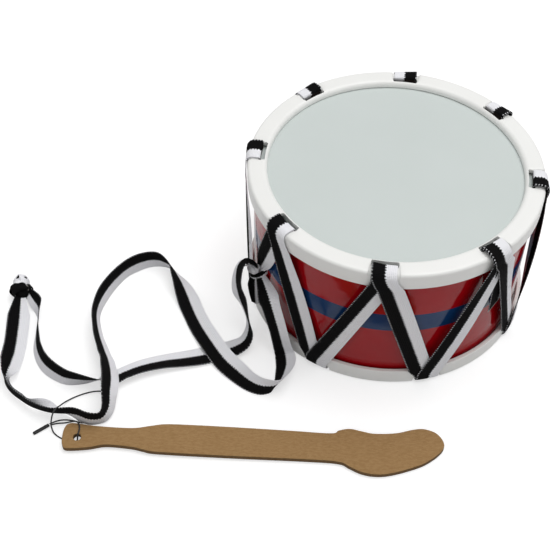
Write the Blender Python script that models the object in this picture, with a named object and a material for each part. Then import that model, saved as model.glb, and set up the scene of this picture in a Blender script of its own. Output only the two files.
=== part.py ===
"""A small davul with a laced shell, a carrying strap and a wooden beater.

Sizes are in millimetres and become metres when a mesh is made. Places are given
about the centre of the drum's base, with +Z up and the front of the drum facing -Y.
At the end everything moves together, so that the origin is the middle of the
footprint of the drum and its beater.
"""
import math

import bmesh
import bpy
from mathutils import Vector

MM = 0.001
SMOOTH_ANGLE = math.radians(35)

# Drum
DRUM_HEIGHT = 111.0
DRUM_RADIUS = 100.0
SEGMENTS = 64
CLEARANCE = 0.3

# Rims, the same moulding at both ends
FLANGE_WIDTH = 13.5
SKIRT_HEIGHT = 12.6
SKIRT_WALL = 3.0
FLANGE_THICKNESS = 3.0
OUTER_CORNER_RADIUS = 2.2
INNER_EDGE_RADIUS = 3.2
LIP_WALL = 1.5
LIP_DEPTH = 4.6
SEAT_RIB_WIDTH = 3.0

# Heads and shell
HEAD_THICKNESS = 0.6
HEAD_COLLAR_HEIGHT = 5.0
SHELL_WALL = 1.6
BAND_HEIGHT = 16.0

# Lacing notches
NOTCH_COUNT = 8
FIRST_TOP_NOTCH = 82.0
BOTTOM_RIM_TURN = 22.0
NOTCH_WIDTH = 17.4
NOTCH_DEPTH = 1.8
SLOT_WIDTH = 4.6
SLOT_LAND = 1.9
NOTCH_CORNER_RADIUS = 3.5
NOTCH_FACETS = 3
CUTTER_MARGIN = 2.0

# Woven tape
TAPE_WIDTH = 16.0
TAPE_THICKNESS = 0.5
LACE_TURN = 5.0
LACE_SPREAD = 3.5
RISING_BULGE = 0.65
FOLD_DEPTH = 4.5
LACE_END_NOTCH = 5
LACE_TAIL_LENGTH = 56.0
LACE_TAIL_SLANT = 9.0
LACE_TAIL_DRIFT = 5.0
LACE_TAIL_LEAN = 2.8
TIED_LEG = 3
PINCH_HEIGHT = 50.0
PINCH_REACH = 10.0
PINCH_SHARE = 0.55
PINCH_STATIONS = (0.2, 0.3, 0.38, 0.46, 0.54, 0.62, 0.7, 0.8)
LEG_STATIONS = (0.3, 0.5, 0.7)
LEG_END_STATIONS = (0.06, 0.12)

# Strap knots
DRUM_KNOT_SIZE = (10.0, 13.0, 17.0)
DRUM_KNOT_STANDOFF = 2.4
FAR_KNOT_CENTRE = (-264.5, -21.5, 7.2)
FAR_KNOT_SIZE = (15.0, 20.0, 13.4)
KNOT_SIDES = 16
KNOT_RINGS = 9
STRAP_STEP = 6.0
FLOOR_GAP = 0.1
GATHER_LENGTH = 18.0
GATHER_SHARE = 0.6

# Beater and its elastic loop
BEATER_THICKNESS = 3.8
BEATER_EDGE_RADIUS = 0.5
BEATER_HOLE_RADIUS = 2.5
BEATER_HOLE_SIDES = 24
BEATER_HOLE_AT = (-209.2, -149.3)
BEATER_HEADING = -2.0
BEATER_HOLE_LIFT = 1.5
BEATER_LENGTH = 250.0
ELASTIC_DIAMETER = 1.0
CRIMP_LENGTH = 11.8
CRIMP_WIDTH = 2.6
CRIMP_HEIGHT = 1.8
CRIMP_MOUTH = (-229.5, -137.2, 1.2)
CRIMP_HEADING = 217.0

# Pieces that lie free and are left out of the footprint
STRAP_PIECES = (
    "strap_long_strand", "strap_short_strand", "drum_knot", "far_knot", "elastic_loop", "crimp_sleeve")

# Places worked out from the sizes above
OPENING_RADIUS = DRUM_RADIUS - FLANGE_WIDTH
SKIRT_INNER_RADIUS = DRUM_RADIUS - SKIRT_WALL
COLLAR_OUTER_RADIUS = SKIRT_INNER_RADIUS - CLEARANCE
COLLAR_INNER_RADIUS = COLLAR_OUTER_RADIUS - HEAD_THICKNESS
SHELL_OUTER_RADIUS = COLLAR_INNER_RADIUS - CLEARANCE
SHELL_INNER_RADIUS = SHELL_OUTER_RADIUS - SHELL_WALL
HEAD_DEPTH = LIP_DEPTH + CLEARANCE
SHELL_EDGE_DEPTH = HEAD_DEPTH + HEAD_THICKNESS + CLEARANCE
SLOT_INNER_RADIUS = OPENING_RADIUS + SLOT_LAND
SLOT_OUTER_RADIUS = SLOT_INNER_RADIUS + SLOT_WIDTH
NOTCH_PITCH = 360.0 / NOTCH_COUNT
LACE_START_DEPTH = NOTCH_DEPTH + NOTCH_CORNER_RADIUS
LAYER_PITCH = TAPE_THICKNESS + CLEARANCE
FIRST_LAYER = CLEARANCE + TAPE_THICKNESS / 2

# Strap route: x, y, z of the tape's middle, then the heading and the tilt of the
# line from its black edge to its white edge. Both strands begin and end inside the
# knots, which are cut away from them. The long strand hangs from the drum knot and
# runs along the floor to the far knot.
LONG_STRAND_ROUTE = [
    (-91.5, -45, 48.5, -35, 0),
    (-90, -51, 47, -35, 0),
    (-86, -62, 43, -35, 0),
    (-82, -69, 35, -35, 0),
    (-78, -75, 24, -33, 5),
    (-75.5, -77.5, 13, -28, 12),
    (-73.5, -80, 5, -20, 26),
    (-73, -91, 4.9, -29, 34),
    (-78, -107, 7.5, -20, 64),
    (-87, -110, 8.2, 27, 76),
    (-96, -106, 7.7, 50, 66),
    (-106, -96, 6.2, 50, 44),
    (-116, -85, 6, 50, 31),
    (-125, -71, 6.4, 42, 27),
    (-134, -54, 4.7, 26, 26),
    (-141, -37, 3.6, 6, 20),
    (-146, -23, 2.9, 18, -16),
    (-152, -11, 6, 49, -44),
    (-159, 0, 7.5, 100, -63),
    (-170, 5, 8.2, 190, -80),
    (-183, 1, 8.2, -40, -80),
    (-194, -9, 7.8, 30, -68),
    (-204, -27, 7.2, 43, -59),
    (-208, -45, 6.8, 70, -54),
    (-205, -63, 6.1, 80, -46),
    (-199, -80, 7, 73, -46),
    (-195, -90, 8.6, 64, -48),
    (-191.5, -105.5, 12.6, 47, -45),
    (-190.5, -120, 14.4, 45, -46),
    (-190.5, -129, 11.2, 44, -54),
    (-194, -136.6, 9.7, 50, -72),
    (-202, -137.9, 9.8, 80, -87),
    (-213, -133.6, 9.5, 140, -80),
    (-228, -129, 8.4, 122, -70),
    (-242, -122, 7.5, 138, -60),
    (-256, -111, 7.2, 152, -60),
    (-264, -98, 7.2, 165, -64),
    (-265.5, -86, 4.4, 10, -30),
    (-264.8, -66, 1.2, 4, -5),
    (-264, -50, 2.6, -4, -14),
    (-264, -34, 6.4, -8, -25),
    (-264.4, -26, 7.2, -8, -25),
]
# The short strand leaves the top of the drum knot, drops beside the drum and runs
# under the long strand twice on its way to the far knot.
SHORT_STRAND_ROUTE = [
    (-92, -44.5, 52, 100, 0),
    (-95.2, -48, 60.5, 104, 2),
    (-99.8, -49.3, 63.5, 112, 0),
    (-104, -49, 59, 118, 0),
    (-104.5, -50, 48, 118, 0),
    (-103, -52, 34, 115, 0),
    (-100, -55, 20, 110, -3),
    (-98.5, -60, 9.5, 106, -14),
    (-101, -67, 3.6, 112, -20),
    (-108, -72, 1.9, 115, -10),
    (-118, -75, 1.1, 114, -5),
    (-130, -79, 1.0, 110, -4),
    (-142, -82, 1.5, 99, -9),
    (-158, -85.5, 2.6, 98, -16),
    (-172, -90, 3.2, 101, -19),
    (-183, -95.5, 3.4, 100, -21),
    (-191, -100.5, 3.5, 104, -22),
    (-199.5, -104.5, 6.6, 112, -52),
    (-213, -105, 8, 147, -74),
    (-225, -102, 7.9, 190, -72),
    (-238, -92, 7.5, 185, -64),
    (-245.5, -78, 6.8, 145, -54),
    (-248, -62, 6.1, 127, -47),
    (-248.5, -50, 6.1, 125, -46),
    (-250, -40, 6.2, 95, -50),
    (-255.5, -34.5, 6.2, 60, -60),
    (-261, -25, 7.2, 60, -60),
]
# The elastic loop leaves the crimp, passes under the strap, back over it, under
# the beater's end, up through the hole and back to the crimp.
ELASTIC_ROUTE = [
    (-229.5, -136.6, 1.2),
    (-225, -134.3, 1.1),
    (-220.5, -133.2, 0.9),
    (-214.5, -133.6, 0.7),
    (-208, -135.2, 0.6),
    (-201.5, -134, 0.6),
    (-195.5, -128, 0.6),
    (-192.5, -119.5, 0.7),
    (-193.5, -112.5, 0.7),
    (-197.5, -109.8, 0.7),
    (-203, -109.8, 0.7),
    (-209, -111.5, 0.7),
    (-214.5, -114, 0.8),
    (-219, -118, 1.8),
    (-221.3, -123, 6.5),
    (-221.6, -127.3, 13),
    (-222.1, -130.3, 17.6),
    (-223.6, -134, 17),
    (-225.6, -137, 11),
    (-227.3, -137.8, 4),
    (-227, -139.6, 2.5),
    (-225.6, -143, 1.0),
    (-222.5, -146.2, 0.6),
    (-218, -148.6, 0.6),
    (-213.2, -150, 0.6),
    (-210.7, -149.9, 0.7),
    (-209.4, -149.5, 1.8),
    (-209, -149, 4),
    (-208.7, -147.9, 6.3),
    (-208, -145, 7.0),
    (-208.4, -141.5, 6.9),
    (-210.3, -138.2, 6.4),
    (-213.8, -136.2, 3.6),
    (-219.5, -135.7, 1.1),
    (-224.5, -136.2, 1.1),
    (-228.9, -137.5, 1.2),
]
# Beater outline about the hole: along the stick, then across it.
BEATER_OUTLINE = [
    (-9.9, 0), (-9.4, 7), (-6.5, 10.6), (0, 10.6), (14, 9.2), (35, 8.9), (47, 11.2),
    (57, 13), (75, 13.2), (103, 12.8), (140, 11.9), (166, 11.2), (171, 13.6), (178.5, 15.3),
    (187, 13.6), (195, 12.3), (209, 13.4), (220, 16.6), (228, 17.4), (236, 14),
    (240.1, 6.6), (237.4, 0), (227, -8.6), (214, -14.4), (202, -18), (193, -18.6), (185, -17),
    (178, -13.6), (171, -10.4), (150, -9.6), (100, -9.4), (54, -8.7), (44, -7.3), (36, -5.7),
    (19.5, -4.8), (8, -7.4), (-5.4, -8.8), (-8.8, -6.4),
]


def material(name, colour, roughness, metallic=0.0):
    """Principled material with the colour, roughness and metallic value given."""
    made = bpy.data.materials.new(name)
    made.use_nodes = True
    shader = made.node_tree.nodes["Principled BSDF"]
    shader.inputs["Base Color"].default_value = (*colour, 1.0)
    shader.inputs["Roughness"].default_value = roughness
    shader.inputs["Metallic"].default_value = metallic
    return made


def add_solid(name, points, faces, finish, smooth=True):
    """Closed mesh object from points in millimetres, with its faces turned outward."""
    mesh = bpy.data.meshes.new(name)
    work = bmesh.new()
    corners = [work.verts.new(Vector(point) * MM) for point in points]
    for face in faces:
        work.faces.new([corners[index] for index in face])
    bmesh.ops.recalc_face_normals(work, faces=work.faces)
    if work.calc_volume(signed=True) < 0:
        bmesh.ops.reverse_faces(work, faces=work.faces)
    work.to_mesh(mesh)
    work.free()
    mesh.materials.append(finish)
    if smooth:
        mesh.shade_smooth()
        mesh.set_sharp_from_angle(angle=SMOOTH_ANGLE)
    made = bpy.data.objects.new(name, mesh)
    bpy.context.scene.collection.objects.link(made)
    return made


def turned(name, profile, finish):
    """Solid of revolution from a closed profile of (radius, height) points."""
    points = []
    rings = []
    for radius, height in profile:
        if radius == 0:
            points.append((0, 0, height))
            rings.append([len(points) - 1] * SEGMENTS)
            continue
        first = len(points)
        for step in range(SEGMENTS):
            angle = math.tau * step / SEGMENTS
            points.append((radius * math.cos(angle), radius * math.sin(angle), height))
        rings.append([first + step for step in range(SEGMENTS)])
    faces = []
    for index, ring in enumerate(rings):
        after = rings[(index + 1) % len(rings)]
        for step in range(SEGMENTS):
            side = (step + 1) % SEGMENTS
            corner = [ring[step], ring[side], after[side], after[step]]
            face = list(dict.fromkeys(corner))
            if len(face) > 2:
                faces.append(face)
    return add_solid(name, points, faces, finish)


def arc(centre, radius, start, end, steps):
    """Points on a circular arc, both ends included."""
    points = []
    for step in range(steps + 1):
        angle = math.radians(start + (end - start) * step / steps)
        points.append((centre[0] + radius * math.cos(angle), centre[1] + radius * math.sin(angle)))
    return points


def at_height(end, depth):
    """Height of a point that lies `depth` inside the top or the bottom face."""
    return DRUM_HEIGHT - depth if end == "top" else depth


def notch_azimuth(end, index):
    """Direction of a lacing notch; those of the bottom rim lie between those of the top."""
    offset = 0.0 if end == "top" else BOTTOM_RIM_TURN
    return FIRST_TOP_NOTCH + offset + NOTCH_PITCH * index


def add_notch_cutter(end):
    """Cutter with one wedge for each notch: a slot through the flange and a lowered seat."""
    seat = arc((DRUM_RADIUS - NOTCH_CORNER_RADIUS, LACE_START_DEPTH), NOTCH_CORNER_RADIUS, -90, 0, 3)
    profile = [(SLOT_INNER_RADIUS, -CUTTER_MARGIN), (SLOT_INNER_RADIUS, LIP_DEPTH - CLEARANCE)]
    profile += [(SLOT_OUTER_RADIUS, LIP_DEPTH - CLEARANCE), (SLOT_OUTER_RADIUS, NOTCH_DEPTH)]
    beyond = DRUM_RADIUS + CUTTER_MARGIN
    profile += seat + [(beyond, LACE_START_DEPTH), (beyond, -CUTTER_MARGIN)]
    half_angle = math.degrees(NOTCH_WIDTH / 2 / ((SLOT_INNER_RADIUS + SLOT_OUTER_RADIUS) / 2))
    points = []
    faces = []
    count = len(profile)
    for index in range(NOTCH_COUNT):
        middle = notch_azimuth(end, index)
        first = len(points)
        for span in range(NOTCH_FACETS + 1):
            angle = math.radians(middle - half_angle + 2 * half_angle * span / NOTCH_FACETS)
            for radius, depth in profile:
                place = (radius * math.cos(angle), radius * math.sin(angle), at_height(end, depth))
                points.append(place)
        for span in range(NOTCH_FACETS):
            near = first + span * count
            far = near + count
            for corner in range(count):
                after = (corner + 1) % count
                faces.append([near + corner, near + after, far + after, far + corner])
        faces.append([first + corner for corner in range(count)])
        faces.append([first + NOTCH_FACETS * count + corner for corner in range(count)])
    return add_solid(end + "_notch_cutter", points, faces, bpy.data.materials["rim plastic"], False)


def cut_away(item, label, cutter):
    """Subtract the cutter from the item and keep the cutter out of sight."""
    cutter.hide_render = True
    cutter.display_type = "WIRE"
    cut = item.modifiers.new(label, "BOOLEAN")
    cut.operation = "DIFFERENCE"
    cut.solver = "EXACT"
    cut.object = cutter


def add_rim(end, finish):
    """Moulded rim: flange, skirt, a lip that meets the head and a rib over the shell's edge."""
    corner = arc((DRUM_RADIUS - OUTER_CORNER_RADIUS, OUTER_CORNER_RADIUS), OUTER_CORNER_RADIUS, -90, 0, 3)
    edge = arc((OPENING_RADIUS + INNER_EDGE_RADIUS, INNER_EDGE_RADIUS), INNER_EDGE_RADIUS, 180, 270, 3)
    lip_radius = OPENING_RADIUS + LIP_WALL
    rib_radius = SKIRT_INNER_RADIUS - SEAT_RIB_WIDTH
    depths = corner + [(DRUM_RADIUS, SKIRT_HEIGHT), (SKIRT_INNER_RADIUS, SKIRT_HEIGHT)]
    depths += [(SKIRT_INNER_RADIUS, LIP_DEPTH), (rib_radius, LIP_DEPTH)]
    depths += [(rib_radius, FLANGE_THICKNESS), (lip_radius, FLANGE_THICKNESS)]
    depths += [(lip_radius, LIP_DEPTH), (OPENING_RADIUS, LIP_DEPTH)] + edge
    profile = [(radius, at_height(end, depth)) for radius, depth in depths]
    rim = turned(end + "_rim", profile, finish)
    cut_away(rim, "lacing notches", add_notch_cutter(end))


def add_head(end, name, finish):
    """Plastic head: a flat sheet with a collar that folds down over the shell's edge."""
    inside = HEAD_DEPTH + HEAD_THICKNESS
    hem = HEAD_DEPTH + HEAD_COLLAR_HEIGHT
    depths = [(0, HEAD_DEPTH), (COLLAR_OUTER_RADIUS, HEAD_DEPTH), (COLLAR_OUTER_RADIUS, hem)]
    depths += [(COLLAR_INNER_RADIUS, hem), (COLLAR_INNER_RADIUS, inside), (0, inside)]
    turned(name, [(radius, at_height(end, depth)) for radius, depth in depths], finish)


def add_shell(finish):
    """Open cylinder between the two heads, with rings at the edges of its printed band."""
    low = SHELL_EDGE_DEPTH
    high = DRUM_HEIGHT - SHELL_EDGE_DEPTH
    middle = DRUM_HEIGHT / 2
    outer = [high, middle + BAND_HEIGHT / 2, middle - BAND_HEIGHT / 2, low]
    profile = [(SHELL_OUTER_RADIUS, height) for height in outer]
    profile += [(SHELL_INNER_RADIUS, low), (SHELL_INNER_RADIUS, high)]
    turned("shell", profile, finish)


def lace_drift(height):
    """How far a leg has moved sideways at a height, from 0 at the bottom to 1 at the top."""
    reach = DRUM_HEIGHT - 2 * LACE_START_DEPTH
    run = min(max(height - LACE_START_DEPTH, 0.0), reach)
    full = reach - LACE_TURN
    if run < LACE_TURN:
        return run * run / (2 * LACE_TURN) / full
    if run > reach - LACE_TURN:
        return 1.0 - (reach - run) ** 2 / (2 * LACE_TURN) / full
    return (run - LACE_TURN / 2) / full


def lace_slope(height):
    """Sideways travel of a leg per millimetre of height."""
    step = 0.05
    change = lace_drift(height + step) - lace_drift(height - step)
    return change / (2 * step) * math.radians(NOTCH_PITCH / 2) * DRUM_RADIUS


def tape_half_width(height):
    """Half the level width of a leg, which grows where the leg slants."""
    return TAPE_WIDTH / 2 * math.hypot(1.0, lace_slope(height))


def lace_stations(offset):
    """Route of one layer of tape from the slot to the skirt's edge, as (radius, depth)."""
    points = [(SLOT_OUTER_RADIUS - offset, FOLD_DEPTH - 2 * LAYER_PITCH)]
    bend = arc((SLOT_OUTER_RADIUS, NOTCH_DEPTH), offset, 180, 270, 2)
    corner_centre = (DRUM_RADIUS - NOTCH_CORNER_RADIUS, LACE_START_DEPTH)
    corner = arc(corner_centre, NOTCH_CORNER_RADIUS + offset, -90, 0, 3)
    turn = [(DRUM_RADIUS + offset, LACE_START_DEPTH + LACE_TURN / 2)]
    return points + bend + corner + turn + [(DRUM_RADIUS + offset, SKIRT_HEIGHT)]


def tape_row(offsets, place):
    """One row of six points across the tape: three on the inner face, three on the outer."""
    row = []
    for offset in offsets:
        for side in (-1, 0, 1):
            row.append(place(offset, side))
    return row


def layer_faces(offset):
    """Offsets of the tape's two faces, about the middle of its layer."""
    return (offset - TAPE_THICKNESS / 2, offset + TAPE_THICKNESS / 2)


def leg_sweep(end, direction):
    """Angle between the two ends of the leg that leaves a notch in this direction."""
    falls_right = (end == "top") == (direction > 0)
    return BOTTOM_RIM_TURN if falls_right else NOTCH_PITCH - BOTTOM_RIM_TURN


def end_rows(end, azimuth, direction, offset):
    """Rows of one layer from inside the slot to the skirt's edge.

    `direction` is +1 for a leg that leaves the notch to larger azimuths, -1 to smaller.
    Legs that fall to the right spread a little further from their notches.
    """
    low, high = layer_faces(offset)
    sweep = math.radians(leg_sweep(end, direction))
    falls_right = (end == "top") == (direction > 0)
    spread = LACE_SPREAD if falls_right else 0.0
    rows = []
    for inner, outer in zip(lace_stations(low), lace_stations(high)):
        faces = {0: inner, 1: outer}

        def place(face, side, faces=faces):
            radius, depth = faces[face]
            height = DRUM_HEIGHT - depth
            drift = (1.0 - lace_drift(height)) * sweep
            drift += spread * max(0.0, depth - NOTCH_DEPTH) / (SKIRT_HEIGHT - NOTCH_DEPTH) / radius
            half = tape_half_width(height)
            angle = math.radians(azimuth) + direction * drift + side * half / radius
            level = at_height(end, depth)
            return Vector((radius * math.cos(angle), radius * math.sin(angle), level))

        rows.append(tape_row((0, 1), place))
    return rows


def fold_rows(end, azimuth, offset_in, offset_out):
    """Rows of the turn inside the slot, from one layer to another that lies over it."""
    middle = (offset_in + offset_out) / 2
    reach = (offset_out - offset_in) / 2
    rows = []
    for turn in (45, 90, 135):
        swing = math.radians(turn)

        def place(face, side, swing=swing):
            radius_of_turn = reach + face * TAPE_THICKNESS / 2
            offset = middle - radius_of_turn * math.cos(swing)
            depth = FOLD_DEPTH - reach - TAPE_THICKNESS / 2 + radius_of_turn * math.sin(swing)
            radius = SLOT_OUTER_RADIUS - offset
            angle = math.radians(azimuth) + side * TAPE_WIDTH / 2 / radius
            return Vector((radius * math.cos(angle), radius * math.sin(angle), at_height(end, depth)))

        rows.append(tape_row((1, -1), place))
    return rows


def turned_over(rows):
    """The same rows with the tape's two faces swapped, as they are after a fold."""
    return [row[3:] + row[:3] for row in rows]


def pinch(height):
    """Share of the tape's width that is left where the strap's knot gathers it."""
    return 1.0 - PINCH_SHARE * math.exp(-((height - PINCH_HEIGHT) / PINCH_REACH) ** 2)


def between(row_a, row_b, share):
    """Row on the straight lines from one row to another."""
    return [a.lerp(b, share) for a, b in zip(row_a, row_b)]


def drawn_in(row, gather):
    """The same row with its edges drawn in towards its middle."""
    narrow = []
    for face in (0, 3):
        centre = row[face + 1]
        narrow += [centre.lerp(point, gather) for point in row[face:face + 3]]
    return narrow


def moved_out(row, low, high):
    """The same row with its inner face moved outward by `low` and its outer face by `high`."""
    outward = (row[4] - row[1]).normalized()
    return [point + outward * low for point in row[:3]] + [point + outward * high for point in row[3:]]


def rising_row(row_a, row_b, share):
    """Row of a rising leg. It bulges a third of the way up, because it lies over a falling leg."""
    bulge = 6.75 * RISING_BULGE * share * (1 - share) ** 2
    return moved_out(between(row_a, row_b, share), bulge, bulge)


def tied_row(row_a, row_b, share):
    """Row of the rising leg that is drawn in by the strap's knot."""
    row = rising_row(row_a, row_b, share)
    return drawn_in(row, pinch(row[1].z))


def leg_span(row_a, row_b, make_row, stations=None):
    """Free rows of a leg between the two skirts."""
    shares = LEG_END_STATIONS + (stations or LEG_STATIONS)
    shares += tuple(1.0 - share for share in reversed(LEG_END_STATIONS))
    return [make_row(row_a, row_b, share) for share in shares]


def tail_rows():
    """The lace's loose end: it hangs behind a leg, outside the skirt, cut on a slant."""
    azimuth = notch_azimuth("top", LACE_END_NOTCH)
    rows = end_rows("top", azimuth, 1, FIRST_LAYER)
    edge = rows[-1]
    drop = LACE_TAIL_LENGTH - SKIRT_HEIGHT
    outward = Vector((math.cos(math.radians(azimuth)), math.sin(math.radians(azimuth)), 0))
    right = Vector((-outward.y, outward.x, 0))
    shift = right * LACE_TAIL_DRIFT - outward * LACE_TAIL_LEAN
    end = []
    for index, point in enumerate(edge):
        side = index % 3 - 1
        end.append(point + shift - Vector((0, 0, drop - side * LACE_TAIL_SLANT / 2)))
    return [end] + rows[::-1]


def lace_rows():
    """All rows of the lacing tape in one piece, from its tail round to its tucked end."""
    rows = tail_rows()
    inner = FIRST_LAYER
    outer = FIRST_LAYER + LAYER_PITCH
    third = FIRST_LAYER + 2 * LAYER_PITCH
    for step in range(NOTCH_COUNT):
        notch = LACE_END_NOTCH + step
        azimuth = notch_azimuth("top", notch)
        top_layer = third if step == 0 else outer
        rows += fold_rows("top", azimuth, inner, top_layer)
        below = notch_azimuth("bottom", notch)
        falling = end_rows("top", azimuth, 1, top_layer)
        landing = end_rows("bottom", below, -1, inner)[::-1]
        falling += leg_span(falling[-1], landing[0], between) + landing
        falling += fold_rows("bottom", below, inner, outer)
        rows += turned_over(falling)
        start = end_rows("bottom", below, 1, outer)
        last = step == NOTCH_COUNT - 1
        top_inner = outer if last else inner
        finish = end_rows("top", notch_azimuth("top", notch + 1), -1, top_inner)
        if (notch + 1) % NOTCH_COUNT == TIED_LEG:
            span = leg_span(start[-1], finish[-1], tied_row, PINCH_STATIONS)
        else:
            span = leg_span(start[-1], finish[-1], rising_row)
        rows += start + span + finish[::-1]
    return rows


def skin(name, rows, finish):
    """Solid through rows of points, capped at both ends; each row is a ring."""
    points = []
    for row in rows:
        points += row
    count = len(rows[0])
    faces = [list(range(count)), list(range(len(points) - count, len(points)))]
    for near in range(0, len(points) - count, count):
        for corner in range(count):
            beside = (corner + 1) % count
            faces.append([near + corner, near + beside, near + count + beside, near + count + corner])
    return add_solid(name, points, faces, finish)


def tape_skin(name, rows, finish):
    """Flat tape through tape rows, capped at both ends.

    Both faces are split along the same diagonals, so that they stay parallel where the tape twists.
    """
    points = []
    for row in rows:
        points += row
    faces = [[0, 1, 2, 5, 4, 3], [len(points) + corner for corner in (-6, -5, -4, -1, -2, -3)]]
    for near in range(0, len(points) - 6, 6):
        far = near + 6
        for column in (0, 1, 3, 4):
            faces.append([near + column, near + column + 1, far + column + 1])
            faces.append([near + column, far + column + 1, far + column])
        for column in (0, 2):
            faces.append([near + column, near + column + 3, far + column + 3, far + column])
    return add_solid(name, points, faces, finish)


def curve_point(p0, p1, p2, p3, share):
    """Point on the smooth curve from p1 to p2, whose neighbours are p0 and p3."""
    straight = (p2 - p0) * share
    square = (2 * p0 - 5 * p1 + 4 * p2 - p3) * share ** 2
    cube = (3 * p1 - p0 - 3 * p2 + p3) * share ** 3
    return (2 * p1 + straight + square + cube) / 2


def spread_values(values, count):
    """`count` + 1 values along the smooth curve through all the values given."""
    padded = [values[0] * 2 - values[1]] + values + [values[-1] * 2 - values[-2]]
    spread = []
    for number in range(count + 1):
        place = number / count * (len(values) - 1)
        index = min(int(place), len(values) - 2)
        spread.append(curve_point(*padded[index:index + 4], place - index))
    return spread


def route_length(points):
    """Length of the line through the points."""
    return sum((after - before).length for before, after in zip(points, points[1:]))


def strap_frames(route):
    """Middle points and black-to-white directions along a strap route."""
    middles = [Vector(point[:3]) for point in route]
    across = []
    for point in route:
        heading, tilt = math.radians(point[3]), math.radians(point[4])
        level = math.cos(tilt)
        across.append(Vector((level * math.cos(heading), level * math.sin(heading), math.sin(tilt))))
    count = round(route_length(middles) / STRAP_STEP)
    return spread_values(middles, count), spread_values(across, count)


def add_strand(name, route, finish):
    """Flat tape along a route, drawn in at both ends and cut short where the knots are."""
    places, sides = strap_frames(route)
    length = route_length(places)
    rows = []
    for index, place in enumerate(places):
        ahead = places[min(index + 1, len(places) - 1)]
        behind = places[max(index - 1, 0)]
        tangent = (ahead - behind).normalized()
        side = sides[index] - tangent * sides[index].dot(tangent)
        side.normalize()
        normal = tangent.cross(side)
        travelled = route_length(places[:index + 1])
        from_end = min(travelled, length - travelled)
        gather = 1.0 - GATHER_SHARE * max(0.0, 1.0 - from_end / GATHER_LENGTH)
        half = side * (TAPE_WIDTH / 2 * gather)
        lowest = place.z - abs(half.z) - TAPE_THICKNESS / 2
        place.z += max(0.0, FLOOR_GAP - lowest)
        thick = normal * TAPE_THICKNESS / 2
        edges = (place - half, place, place + half)
        rows.append([edge - thick for edge in edges] + [edge + thick for edge in edges])
    print(name, "is", round(length), "mm long")
    strand = tape_skin(name, rows, finish)
    cut_away(strand, "drum knot", drum_knot_lump(name + "_drum_knot_cutter", CLEARANCE, finish))
    cut_away(strand, "far knot", far_knot_lump(name + "_far_knot_cutter", CLEARANCE, finish))


def rounded_lump(name, centre, size, turn, finish):
    """Knot as an egg-shaped lump."""
    sides = KNOT_SIDES
    levels = KNOT_RINGS
    points = [Vector((0, 0, -size[2] / 2))]
    for level in range(1, levels + 1):
        lift = -math.pi / 2 + math.pi * level / (levels + 1)
        for side in range(sides):
            angle = math.tau * side / sides
            flat = math.cos(lift)
            points.append(Vector((
                size[0] / 2 * flat * math.cos(angle),
                size[1] / 2 * flat * math.sin(angle),
                size[2] / 2 * math.sin(lift),
            )))
    points.append(Vector((0, 0, size[2] / 2)))
    faces = []
    for side in range(sides):
        after = (side + 1) % sides
        faces.append([0, 1 + side, 1 + after])
        for level in range(levels - 1):
            low = 1 + level * sides
            faces.append([low + side, low + after, low + sides + after, low + sides + side])
        top = 1 + (levels - 1) * sides
        faces.append([top + side, top + after, len(points) - 1])
    spun = []
    for point in points:
        cosine, sine = math.cos(turn), math.sin(turn)
        x = point.x * cosine - point.y * sine
        y = point.x * sine + point.y * cosine
        spun.append(Vector((x, y, point.z)) + Vector(centre))
    return add_solid(name, spun, faces, finish)


def tied_leg_rows():
    """End rows of the leg that the strap is tied to."""
    notch = TIED_LEG - 1
    outer = FIRST_LAYER + LAYER_PITCH
    start = end_rows("bottom", notch_azimuth("bottom", notch), 1, outer)[-1]
    finish = end_rows("top", notch_azimuth("top", notch + 1), -1, FIRST_LAYER)[-1]
    return start, finish


def drum_knot_lump(name, growth, finish):
    """Lump of the knot on the drum, larger by `growth` on all sides."""
    start, end = tied_leg_rows()
    share = (PINCH_HEIGHT - start[0].z) / (end[0].z - start[0].z)
    middle = rising_row(start, end, share)[1]
    azimuth = math.atan2(middle.y, middle.x)
    outward = Vector((math.cos(azimuth), math.sin(azimuth), 0))
    centre = middle + outward * DRUM_KNOT_STANDOFF
    size = [side + 2 * growth for side in DRUM_KNOT_SIZE]
    return rounded_lump(name, centre, size, azimuth, finish)


def far_knot_lump(name, growth, finish):
    """Lump of the knot at the strap's far end, larger by `growth` on all sides."""
    size = [side + 2 * growth for side in FAR_KNOT_SIZE]
    return rounded_lump(name, FAR_KNOT_CENTRE, size, 0.0, finish)


def add_drum_knot(finish):
    """Knot round the tied leg, with a passage for the gathered tape."""
    knot = drum_knot_lump("drum_knot", 0.0, finish)
    start, end = tied_leg_rows()
    rows = []
    for share in PINCH_STATIONS[:-1]:
        row = rising_row(start, end, share)
        gather = pinch(row[1].z)
        wider = gather + 2 * CLEARANCE / TAPE_WIDTH
        rows.append(moved_out(drawn_in(row, wider), -CLEARANCE, CLEARANCE))
    cut_away(knot, "leg passage", tape_skin("leg_passage_cutter", rows, finish))


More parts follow.
